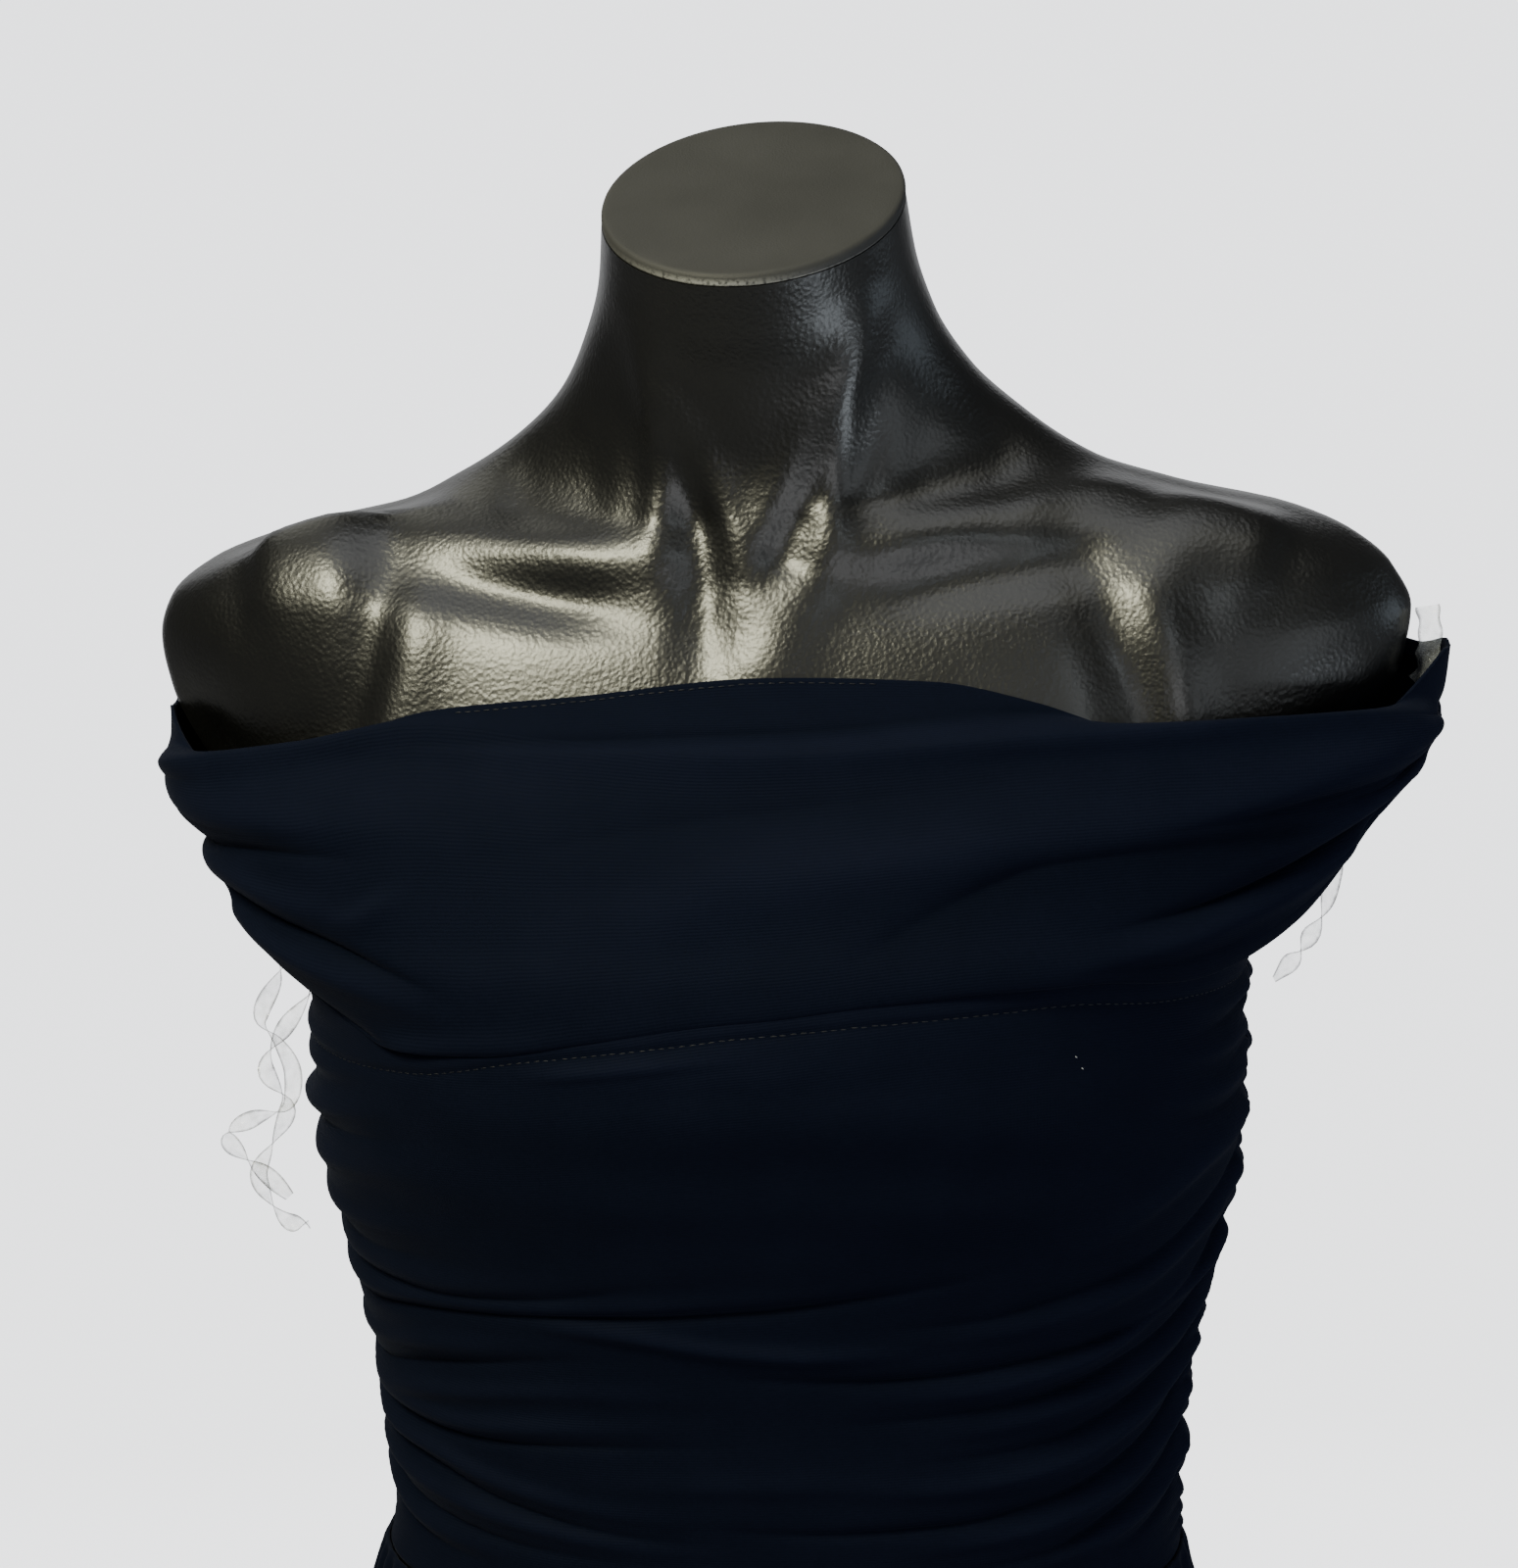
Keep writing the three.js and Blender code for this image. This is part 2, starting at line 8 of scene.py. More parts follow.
import bpy
import numpy as np
from mathutils import Matrix, Vector


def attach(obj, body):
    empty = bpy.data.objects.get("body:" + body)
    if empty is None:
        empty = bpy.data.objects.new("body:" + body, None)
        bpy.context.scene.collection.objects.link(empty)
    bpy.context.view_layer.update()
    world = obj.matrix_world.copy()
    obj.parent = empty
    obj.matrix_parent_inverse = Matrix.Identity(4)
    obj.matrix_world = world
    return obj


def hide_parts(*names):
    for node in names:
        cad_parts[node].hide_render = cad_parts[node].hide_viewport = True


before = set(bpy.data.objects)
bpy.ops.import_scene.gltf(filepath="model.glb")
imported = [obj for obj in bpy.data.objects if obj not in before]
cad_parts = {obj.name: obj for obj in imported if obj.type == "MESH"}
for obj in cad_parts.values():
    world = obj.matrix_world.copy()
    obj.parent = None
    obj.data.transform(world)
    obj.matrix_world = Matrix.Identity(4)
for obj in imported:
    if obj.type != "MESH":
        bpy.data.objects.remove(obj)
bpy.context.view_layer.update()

bl_info = {
    "name": "Off-shoulder dress",
    "version": (1, 0, 0),
    "blender": (4, 5, 0),
    "location": "3D View > Sidebar > Dress",
    "description": "Builds a draped and gathered dress on a dress form",
    "category": "Object",
}

MM = 0.001
BODY = "root"

# Heights and thicknesses that the solids have too
WALL = 1.2  # thickness of the dress cloth
SEAM_GAP = 0.3  # space between two pieces that meet at a seam
CLEAR = 1.7  # space between the form and the inside of the bodice
BUST_SEAM = 1199  # height at the sides
WAIST_SEAM = 1000
HEM = 520
FORM_BOTTOM = 795
NECK_CAP = 4
SHOULDER_TILT = 0.022  # rise of the shoulder line for each millimetre towards +X


def table(columns, rows):
    """Named columns of numbers, each an array. The first column is the one that a table is read by."""
    return {name: np.array([row[i] for row in rows], float) for i, name in enumerate(columns)}


# Level sections of the form, the band and the skirt: half their width, where their middle is, and how
# far they reach in front and behind. A power above 2 squares a section off, and lean tips its back edge up.
FORM = table(
    ("level", "half_width", "centre", "front", "back", "middle", "power", "lean"),
    [
        (FORM_BOTTOM, 148, 0, 86, 100, 8, 2.3, 0),
        (812, 160, 0, 95, 110, 8, 2.3, 0),
        (875, 168, 0, 100, 116, 8, 2.3, 0),
        (945, 149, -2, 95, 101, 6, 2.3, 0),
        (985, 134, -2, 88, 88, 4, 2.25, 0),
        (1015, 127, 0, 84, 82, 2, 2.2, 0),
        (1060, 130, 0, 86, 80, 0, 2.2, 0),
        (1110, 140, 1, 95, 83, 0, 2.2, 0),
        (1150, 147, 1, 108, 86, 0, 2.3, 0),
        (1185, 147, 1, 117, 88, 2, 2.35, 0),
        (1215, 152, 1, 115, 92, 4, 2.4, 0),
        (1245, 172, 1, 104, 92, 8, 2.4, 0),
        (1270, 189, 2, 94, 90, 10, 2.35, 0),
        (1293, 200, 2, 85, 86, 12, 2.2, 0),
        (1310, 203, 2, 78, 82, 12, 2.1, 0),
        (1323, 198, 1, 72, 78, 12, 2, 0),
        (1334, 185, 2, 67, 74, 12, 1.85, 0),
        (1343, 163, 5, 64, 70, 12, 1.7, 0),
        (1351, 128, 7, 61, 66, 11, 1.6, 0.01),
        (1360, 104, 3, 58, 62, 10, 1.62, 0.03),
        (1374, 82, 3, 55, 59, 8, 1.72, 0.07),
        (1390, 65.5, 1.5, 53, 56, 4, 1.85, 0.13),
        (1408, 55.5, 0, 52, 54, -1, 1.95, 0.19),
        (1426, 50, 0, 52, 53, -8, 2, 0.27),
        (1445.5, 47.5, 0, 53, 53, -15, 2, 0.345),
    ],
)

BAND = table(
    ("level", "half_width", "centre", "front", "back", "middle", "power"),
    [
        (1180, 151, 1, 122, 93, 2, 2.35),
        (1199, 154.5, 2, 121.5, 95, 3, 2.37),
        (1207, 162, 3, 121, 97, 4, 2.38),
        (1220, 174, 3.5, 119, 99, 5, 2.4),
        (1232, 181, 4.5, 116, 99.5, 7, 2.4),
        (1246, 189, 4.5, 112, 100, 8, 2.4),
        (1258, 197.5, 5.5, 108, 100, 9, 2.4),
        (1271, 204, 6, 102.5, 98.5, 10, 2.35),
        (1285, 206.5, 6.5, 96.5, 95.5, 12, 2.22),
        (1300, 209, 7, 89.5, 92, 12, 2.15),
        (1315, 206, 7, 83, 88.5, 12, 2.1),
    ],
)

SKIRT = table(
    ("level", "half_width", "centre", "front", "back", "middle", "power", "flute"),
    [
        (HEM, 214, 0, 165, 180, 8, 2.1, 6),
        (640, 206, 0, 150, 165, 8, 2.15, 4.6),
        (760, 192, 0, 132, 146, 8, 2.2, 3.4),
        (875, 177, 0, 113, 128, 8, 2.3, 2.1),
        (945, 155, -2, 102, 108, 6, 2.3, 1.4),
        (985, 137.4, -2, 92.4, 92.4, 4, 2.25, 0.7),
        (WAIST_SEAM, 133.2, -1.2, 88.8, 87.8, 3, 2.23, 0.3),
    ],
)

# Edges of a panel by its angle, from its left end (0) round to its right end (180). The bodice stops
# behind the band's bottom edge. The band turns back over its roll, by the tuck, and ends at top.
EDGE_COLUMNS = ("angle", "bodice_top", "bottom", "roll", "top", "tuck")
FRONT_EDGES = table(
    EDGE_COLUMNS,
    [
        (0, 1201, 1243, 1268, 1288, 1.2),
        (12, 1202, 1226, 1272, 1283, 3),
        (32, 1204, 1201, 1280, 1275, 3.4),
        (46, 1200.5, 1195.5, 1286, 1282, 3),
        (62, 1202.5, 1197.5, 1294, 1298, 1),
        (76, 1207.5, 1203, 1290, 1303, 0),
        (90, 1214.5, 1209.5, 1286, 1307.5, 0.6),
        (103, 1219, 1214.5, 1288, 1305, 2.2),
        (112, 1220.5, 1216, 1289.5, 1297.5, 3.2),
        (122, 1220.5, 1216, 1289.5, 1286, 3.4),
        (142, 1216, 1211.5, 1287.5, 1280, 3.4),
        (160, 1210, 1222, 1283, 1285, 3),
        (170, 1207, 1238, 1279, 1293, 1.6),
        (180, 1206, 1257, 1276, 1300, -1.2),
    ],
)
BACK_EDGES = table(
    EDGE_COLUMNS,
    [
        (0, 1206, 1257, 1276, 1300, -1.2),
        (16, 1208, 1226, 1283, 1293, 1.4),
        (34, 1211, 1206, 1287, 1293, 0.8),
        (60, 1211, 1206, 1284, 1296, 0),
        (90, 1210, 1205, 1282, 1297, 0),
        (120, 1208, 1203, 1282, 1295, 0),
        (146, 1206, 1201, 1281, 1289, 0.8),
        (164, 1203, 1220, 1275, 1284, 2),
        (180, 1201, 1243, 1268, 1288, 1.2),
    ],
)

# Each fold: how far it stands out, its width above and below its line, the shares of its length
# over which it fades in and out, and the angles and heights that its line passes through.
BAND_FRONT_FOLDS = [
    (2.2, 9, 5, 0, 0.6, ((0, 1257), (14, 1258), (36, 1262), (70, 1266))),
    (-3.6, 4, 3, 0, 0.45, ((0, 1246), (10, 1247), (37, 1252.5), (58, 1255))),
    (3.0, 6, 5, 0, 0.5, ((4, 1240), (26, 1241), (40, 1237), (54, 1236))),
    (1.6, 3, 4, 0.5, 0.5, ((44, 1233), (50, 1235.5), (55, 1241), (61, 1247))),
    (-4.2, 2.6, 3.4, 0.25, 0.35, ((14, 1236), (34, 1230), (43, 1227), (50, 1223), (62, 1215))),
    (2.6, 5, 5, 0.1, 0.5, ((12, 1229), (34, 1219), (50, 1213), (66, 1207))),
    (-3.0, 2.4, 3, 0.3, 0.4, ((22, 1211), (31, 1204), (40, 1198), (50, 1195))),
    (1.4, 4, 3, 0.3, 0.6, ((30, 1199), (42, 1195), (60, 1199), (80, 1203))),
    (2.8, 10, 7, 0.1, 0.55, ((180, 1272), (150, 1270), (128, 1262), (108, 1248), (96, 1226))),
    (-3.4, 9, 13, 0.25, 0.3, ((158, 1252), (127, 1254), (114, 1252), (106, 1243), (100, 1232), (92, 1212))),
    (-3.0, 3, 4, 0, 0.5, ((180, 1268), (164, 1264), (146, 1263), (131, 1260), (118, 1258))),
    (2.4, 5, 4, 0, 0.5, ((180, 1262), (162, 1257), (148, 1248), (134, 1245))),
    (-3.8, 3, 3.4, 0, 0.4, ((172, 1256), (161, 1249), (147, 1240.5), (135, 1235), (120, 1230))),
    (2.6, 6, 5, 0.1, 0.5, ((168, 1244), (150, 1233), (134, 1226), (114, 1221))),
    (-1.6, 4, 5, 0.4, 0.4, ((152, 1224), (134, 1219), (119, 1219))),
    (2.6, 10, 11, 0.5, 0.5, ((66, 1226), (84, 1243), (94, 1253), (112, 1261), (130, 1272))),
    (-1.2, 10, 10, 0.5, 0.5, ((60, 1252), (78, 1262), (96, 1272), (120, 1280))),
    (2.4, 1.8, 9, 0.45, 0.12,
     ((52, 1284), (66, 1286), (80, 1287.5), (94, 1289), (108, 1292), (122, 1291.5), (136, 1288.5))),
    (-1.4, 3, 1.6, 0.4, 0.15,
     ((60, 1288), (80, 1290), (94, 1291.6), (108, 1294.5), (122, 1293.8), (134, 1290.5))),
]
BAND_BACK_FOLDS = [
    (2.8, 8, 6, 0, 0.6, ((0, 1268), (30, 1262), (56, 1250), (80, 1243))),
    (-3.2, 4, 3, 0, 0.5, ((2, 1258), (24, 1249), (44, 1238), (60, 1233))),
    (2.6, 6, 5, 0, 0.5, ((6, 1246), (30, 1232), (52, 1221), (70, 1215))),
    (-2.6, 3, 4, 0.2, 0.4, ((12, 1232), (28, 1221), (46, 1213))),
    (2.6, 8, 6, 0, 0.6, ((180, 1258), (150, 1258), (120, 1252), (98, 1246))),
    (-3.4, 3, 4, 0, 0.5, ((178, 1248), (152, 1244), (130, 1232), (116, 1227))),
    (2.4, 6, 5, 0, 0.5, ((172, 1236), (150, 1228), (128, 1216), (112, 1210))),
    (-2.4, 3, 3, 0.2, 0.4, ((166, 1222), (150, 1213), (132, 1206))),
    (1.6, 14, 12, 0.5, 0.5, ((44, 1262), (80, 1256), (120, 1262), (140, 1266))),
]

BODICE_FRONT_FOLDS = [
    # fans out of the left seam, under the band
    (2.2, 4, 3, 0, 0.8, ((0, 1188), (16, 1187), (34, 1190))),
    (2.8, 4.5, 3, 0, 0.8, ((0, 1177), (22, 1179), (44, 1186))),
    (3.6, 7, 3.5, 0, 0.7, ((0, 1159), (22, 1165), (50, 1175))),
    (-2.0, 2.4, 2.4, 0, 0.7, ((0, 1151), (24, 1158), (52, 1165))),
    (2.8, 7, 4, 0, 0.7, ((0, 1142), (26, 1147), (58, 1155))),
    (2.4, 5, 3.5, 0, 0.7, ((0, 1128), (26, 1128), (58, 1134))),
    (-1.6, 2.2, 2.6, 0, 0.7, ((0, 1120), (26, 1119), (54, 1123))),
    # long folds that sweep from the left seam across the waist
    (1.8, 6, 3, 0, 0.5, ((0, 1115), (14, 1112), (42, 1112), (66, 1117), (90, 1127))),
    (-2.0, 2.4, 2.4, 0.1, 0.4, ((0, 1111), (12, 1108), (42, 1108), (64, 1112), (84, 1123))),
    (1.7, 4, 2.6, 0.1, 0.4, ((0, 1105), (20, 1101), (46, 1105), (66, 1109), (86, 1114), (110, 1121))),
    (-2.3, 2.2, 2.2, 0.05, 0.25,
     ((0, 1099), (12, 1094), (40, 1101), (65, 1106), (85, 1109.5), (106, 1117), (124, 1123))),
    (2.4, 3.4, 2.2, 0.4, 0.35, ((56, 1103), (74, 1101.5), (89, 1096.5), (97, 1095), (112, 1095))),
    (1.7, 4.5, 3, 0, 0.5, ((0, 1085), (14, 1082), (48, 1090), (74, 1097))),
    (-2.3, 2.2, 2.4, 0.05, 0.5, ((0, 1076), (11, 1072), (48, 1084), (64, 1090), (78, 1093))),
    (1.8, 4, 3, 0.1, 0.5, ((0, 1070), (18, 1065), (44, 1072), (70, 1079), (96, 1080))),
    (2.0, 3.5, 2.6, 0, 0.5, ((0, 1063), (16, 1061), (40, 1061), (66, 1066), (92, 1071))),
    (-2.4, 2, 2.2, 0, 0.5, ((0, 1060), (12, 1057), (34, 1056), (51, 1057), (72, 1061), (96, 1064))),
    (2.3, 3.6, 2.4, 0, 0.5, ((0, 1054), (16, 1050), (35, 1048.5), (54, 1042), (75, 1037), (92, 1036))),
    (-2.5, 2, 2.2, 0, 0.4, ((0, 1051), (11, 1048), (35, 1043), (54, 1035), (71, 1030), (90, 1028))),
    (2.2, 4, 2.6, 0, 0.5, ((0, 1043), (14, 1038), (34, 1034), (58, 1029), (76, 1026), (96, 1025))),
    (-2.2, 2.2, 2.4, 0, 0.5, ((0, 1036), (12, 1031), (36, 1025), (60, 1021), (84, 1020))),
    (1.9, 4, 2.6, 0, 0.6, ((0, 1028), (12, 1024), (38, 1018), (62, 1016))),
    (-1.8, 2, 2.4, 0, 0.5, ((0, 1022), (10, 1019), (33, 1014), (50, 1013))),
    # fans out of the right seam, under the band
    (2.0, 3, 2.4, 0, 0.8, ((180, 1190), (168, 1192), (148, 1197))),
    (-1.4, 2, 2, 0, 0.7, ((180, 1185), (164, 1187), (146, 1190))),
    (2.0, 3.4, 2.4, 0, 0.7, ((180, 1178), (164, 1179), (144, 1184))),
    (2.2, 4, 3, 0, 0.7, ((180, 1164), (162, 1166), (138, 1172))),
    (-1.4, 2, 2, 0, 0.7, ((180, 1157), (164, 1159), (142, 1164))),
    (2.6, 6, 3.6, 0, 0.6, ((180, 1150), (160, 1146), (140, 1132), (122, 1122))),
    # long folds that sweep from the right seam
    (-1.9, 2.4, 3, 0, 0.4, ((180, 1138), (166, 1130), (149, 1117), (131, 1110), (117, 1105), (100, 1104))),
    (2.4, 5, 3, 0, 0.5, ((180, 1131), (164, 1121), (146, 1109), (126, 1101), (104, 1099))),
    (-2.5, 2.2, 2.4, 0, 0.25, ((180, 1119), (166, 1106), (146, 1094), (128, 1089), (105, 1086), (82, 1089))),
    (2.7, 4, 2.8, 0, 0.5, ((180, 1113), (168, 1103), (154, 1098), (138, 1086), (116, 1080), (96, 1079))),
    (-2.3, 2.2, 2.4, 0, 0.5, ((180, 1104), (166, 1094), (150, 1084), (134, 1077), (110, 1072), (92, 1071))),
    (2.4, 4, 2.8, 0, 0.5, ((180, 1094), (166, 1086), (148, 1075), (128, 1068), (106, 1065))),
    (-2.3, 2.2, 2.6, 0, 0.5, ((180, 1084), (164, 1075), (146, 1065), (126, 1058), (106, 1056))),
    (2.7, 4, 3, 0, 0.5, ((180, 1074), (165, 1067), (151, 1059), (136, 1051), (114, 1047), (94, 1047))),
    (-2.5, 2.2, 2.4, 0, 0.3,
     ((180, 1068), (168, 1060), (152, 1048), (136, 1040), (116, 1034), (97, 1033), (80, 1036))),
    (2.5, 4, 2.6, 0, 0.5, ((180, 1058), (163, 1047), (148, 1037), (128, 1029), (104, 1026))),
    (-2.3, 2.2, 2.4, 0, 0.5, ((180, 1048), (163, 1037), (144, 1026), (131, 1020), (112, 1017))),
    (2.2, 3.6, 2.6, 0, 0.6, ((180, 1038), (160, 1027), (140, 1019), (120, 1015))),
    (-1.8, 2, 2.2, 0, 0.6, ((180, 1028), (160, 1019), (142, 1014))),
    # low, broad rolls across the middle
    (1.0, 10, 6, 0.4, 0.4, ((60, 1193), (78, 1193), (91, 1194), (112, 1200))),
    (1.3, 2.4, 1.7, 0.35, 0.45, ((66, 1190.5), (80, 1195), (93, 1199))),
    (0.9, 14, 10, 0.5, 0.5, ((58, 1140), (90, 1134), (126, 1144))),
    (1.2, 5, 3.4, 0.5, 0.5, ((58, 1046), (74, 1048), (100, 1050), (122, 1046))),
]
BODICE_BACK_FOLDS = [
    (2.6, 4, 3, 0, 0.7, ((0, 1190), (20, 1187), (46, 1186))),
    (-1.8, 2.4, 2.4, 0, 0.6, ((0, 1180), (22, 1175), (50, 1172))),
    (2.8, 5, 3.4, 0, 0.7, ((0, 1168), (24, 1160), (60, 1154))),
    (2.6, 5, 3, 0, 0.6, ((0, 1148), (24, 1136), (54, 1124), (92, 1118))),
    (-2.4, 2.2, 2.4, 0, 0.5, ((0, 1139), (24, 1126), (56, 1112), (96, 1108))),
    (2.4, 4.5, 3, 0, 0.5, ((0, 1128), (22, 1113), (54, 1100), (92, 1097))),
    (-2.4, 2.2, 2.4, 0, 0.4, ((0, 1116), (26, 1100), (62, 1090), (106, 1091))),
    (2.6, 4, 3, 0, 0.6, ((0, 1104), (24, 1090), (58, 1078), (98, 1078))),
    (-2.2, 2.2, 2.4, 0, 0.5, ((0, 1092), (24, 1079), (54, 1069), (84, 1068))),
    (2.4, 4, 3, 0, 0.5, ((0, 1080), (26, 1066), (62, 1057), (100, 1059))),
    (-2.3, 2.2, 2.4, 0, 0.4, ((0, 1069), (24, 1056), (60, 1046), (104, 1047))),
    (2.2, 4, 2.8, 0, 0.6, ((0, 1056), (28, 1043), (64, 1036), (92, 1036))),
    (-2.0, 2.2, 2.4, 0, 0.5, ((0, 1045), (28, 1032), (62, 1026))),
    (2.0, 3.6, 2.6, 0, 0.6, ((0, 1034), (26, 1023), (56, 1018))),
    (2.6, 5, 3.2, 0, 0.7, ((180, 1186), (158, 1180), (132, 1178))),
    (-2.0, 2.4, 2.4, 0, 0.6, ((180, 1172), (156, 1166), (128, 1164))),
    (2.8, 5, 3.4, 0, 0.6, ((180, 1160), (154, 1150), (122, 1142))),
    (2.4, 4.5, 3, 0, 0.5, ((180, 1136), (152, 1122), (118, 1112), (80, 1110))),
    (-2.4, 2.2, 2.4, 0, 0.5, ((180, 1126), (154, 1111), (120, 1101), (86, 1099))),
    (2.6, 4.5, 3, 0, 0.5, ((180, 1112), (156, 1098), (122, 1088), (84, 1087))),
    (-2.4, 2.2, 2.4, 0, 0.4, ((180, 1100), (154, 1087), (118, 1078), (78, 1079))),
    (2.4, 4, 3, 0, 0.6, ((180, 1088), (152, 1075), (116, 1067), (84, 1067))),
    (-2.2, 2.2, 2.4, 0, 0.5, ((180, 1075), (154, 1063), (124, 1056), (92, 1055))),
    (2.4, 4, 2.8, 0, 0.5, ((180, 1062), (150, 1049), (116, 1043), (78, 1045))),
    (-2.2, 2.2, 2.4, 0, 0.5, ((180, 1052), (152, 1039), (118, 1032), (88, 1032))),
    (2.0, 3.6, 2.6, 0, 0.6, ((180, 1040), (152, 1029), (122, 1023))),
    (-1.8, 2.2, 2.2, 0, 0.6, ((180, 1030), (154, 1020), (130, 1016))),
    (0.9, 14, 10, 0.5, 0.5, ((50, 1150), (90, 1146), (130, 1152))),
]

# Where the thread of a gathered side seam pinches the cloth, left and right as the photo shows them:
# heights on the bodice, and shares of the height of the band
LEFT_PINCHES = (
    1000, 1007, 1014, 1022, 1031, 1042, 1051, 1059, 1067, 1076, 1086, 1098, 1111, 1119, 1127, 1135, 1144, 1152,
    1167, 1175, 1184, 1193, 1202,
)
RIGHT_PINCHES = (
    1000, 1008, 1015, 1023, 1032, 1044, 1052, 1060, 1067, 1075, 1084, 1092, 1101, 1113, 1124, 1135, 1141, 1148,
    1156, 1163, 1172, 1180, 1187, 1196, 1207,
)
BAND_LEFT_PINCHES = (0, 0.14, 0.27, 0.46, 0.6, 0.78, 0.9, 1)
BAND_RIGHT_PINCHES = (0, 0.1, 0.26, 0.37, 0.55, 0.68, 0.86, 1)

# Rows of stitches, as angles and heights: below the bust seam, along the neckline and above the hem
TOPSTITCH_FRONT = (
    (3, 1184), (24, 1185), (49, 1188), (68, 1196.3), (85, 1202.4), (92, 1205.4), (106, 1208.2), (124, 1209),
    (145, 1203.5), (177, 1196),
)
TOPSTITCH_BACK = ((3, 1197), (60, 1200), (120, 1198), (177, 1192))
NECK_STITCH_FRONT = ((64, 1297.2), (70, 1299.3), (76, 1301.5), (84, 1304.4), (91, 1306), (99, 1304.8))
NECK_STITCH_BACK = ((40, 1288), (62, 1290.5), (90, 1291.5), (120, 1289.5), (142, 1284))
HEM_STITCH = ((3, HEM + 14), (177, HEM + 14))
PALE_SPECKS = ((129, 1193), (130.2, 1189))  # bits of lint, on the bodice's front

# Clear hanging tapes, from the seam that holds each to its free end, and how many turns each is twisted
TAPES = {
    "tape_left_outer": [
        (-163, 6, 1200), (-167, 4, 1189), (-173, 4, 1175), (-167, 2, 1168), (-162, 0, 1158), (-164, -2, 1147),
        (-175, -4, 1143), (-184, -6, 1138), (-179, -5, 1130), (-171, -4, 1123), (-164, -4, 1116),
    ],
    "tape_left_inner": [
        (-153, 14, 1193), (-158, 14, 1181), (-168, 14, 1168), (-174, 13, 1155), (-167, 12, 1143), (-172, 10, 1130),
        (-177, 8, 1120), (-174, 7, 1112), (-167, 6, 1104), (-160, 6, 1103),
    ],
    "tape_right": [(183, 12, 1236), (181, 12, 1227), (178, 12, 1214), (170, 11, 1200), (162, 10, 1191)],
}
TAPE_TURNS = {"tape_left_outer": 2.6, "tape_left_inner": -2.9, "tape_right": 1.7}

# The end of tape that stands out of the right shoulder seam
SHOULDER_TAPE = ((210, 8, 1315), (211, 7, 1307), (210, 6, 1299), (206, 6, 1291))
SHOULDER_TAPE_TURNS = 0.15
SHOULDER_TAPE_WIDTH = 0.008  # metres

# The front panels start at the left side and the back panels at the right side.
FRONT = 180
BACK = 0


# Small maths on arrays

def smooth(t):
    """0 below 0, 1 above 1 and a soft step between."""
    t = np.clip(t, 0, 1)
    return t * t * (3 - 2 * t)


def mix(a, b, t):
    return a + (b - a) * t


def bell(distance, width):
    return np.exp(-(distance / width) ** 2)


def read(rows, column, at):
    """A column of a table at any places between its rows."""
    keys = rows[next(iter(rows))]
    return between(keys, rows[column], at)


def between(keys, values, at):
    """A smooth line through values at rising keys, with no overshoot."""
    slope = np.diff(values) / np.diff(keys)
    before = slope[np.maximum(np.arange(len(keys)) - 1, 0)]
    after = slope[np.minimum(np.arange(len(keys)), len(keys) - 2)]
    same = before * after > 0
    total = np.where(same, before + after, 1)
    tangent = np.where(same, 2 * before * after / total, 0)
    at = np.clip(at, keys[0], keys[-1])
    i = np.clip(np.searchsorted(keys, at, side="right") - 1, 0, len(keys) - 2)
    width = keys[i + 1] - keys[i]
    t = (at - keys[i]) / width
    bend = (tangent[i] * (1 - t) - tangent[i + 1] * t) * width
    return values[i] + (values[i + 1] - values[i]) * smooth(t) + t * (1 - t) * bend


def signed_power(value, exponent):
    return np.sign(value) * np.abs(value) ** exponent


def climb(x, level):
    """The figure leans on one hip, so sections above the waist climb a little towards +X."""
    return x * SHOULDER_TILT * smooth((level - WAIST_SEAM) / (BUST_SEAM - WAIST_SEAM))


def section_points(rows, angle, level, outward):
    """Points of a section table at angles from +X, moved out in plan. One row of three for each."""
    along, across = np.cos(angle), np.sin(angle)
    half_width, centre = read(rows, "half_width", level), read(rows, "centre", level)
    reach = np.where(across < 0, read(rows, "front", level), read(rows, "back", level))
    middle, power = read(rows, "middle", level), read(rows, "power", level)
    sharper = 2 * (power - 1) / power
    normal_x = signed_power(along, sharper) / half_width
    normal_y = signed_power(across, sharper) / reach
    size = np.hypot(normal_x, normal_y)
    x = centre + half_width * signed_power(along, 2 / power) + normal_x / size * outward
    y = middle + reach * signed_power(across, 2 / power) + normal_y / size * outward
    return np.stack([x, y, level + climb(x, level)], axis=-1)


DEGREE_ARC = 2.3  # millimetres round a panel for one degree of its angle
TROUGH_ROUNDING = 0.5  # a larger one rounds the bottom of a trough off more
TROUGH_SHARPNESS = 0.7
TROUGH_FALL = 0.62  # share of its width over which a trough loses most of its depth


def fold_rise(folds, angle, level):
    """How far the folds of a list push the cloth out, at angles and heights."""
    rise = np.zeros_like(angle)
    for depth, above, below, fade_in, fade_out, line in folds:
        if line[0][0] > line[-1][0]:
            line, fade_in, fade_out = line[::-1], fade_out, fade_in
        places = np.array([p[0] for p in line], float)
        heights = np.array([p[1] for p in line], float)
        at = between(places, heights, angle)
        slope = (between(places, heights, angle + 0.5) - between(places, heights, angle - 0.5)) / DEGREE_ARC
        away = (level - at) / np.sqrt(1 + slope**2)
        share = (angle - places[0]) / (places[-1] - places[0])
        inside = (share >= 0) & (share <= 1)
        start = smooth(share / fade_in) if fade_in else 1
        end = smooth((1 - share) / fade_out) if fade_out else 1
        width = np.where(away > 0, above, below)
        if depth < 0:
            from_bottom = np.sqrt(away**2 + TROUGH_ROUNDING) - TROUGH_SHARPNESS
            form = np.exp(-from_bottom / (TROUGH_FALL * width))
        else:
            form = bell(away, width)
        rise += np.where(inside, depth * form * start * end, 0)
    return rise


PUFF_LEAN = 0.32  # how far a puff's top may be from its middle, as a share of its length
PUFF_ROUNDNESS = 0.75  # below 1, puffs are fuller


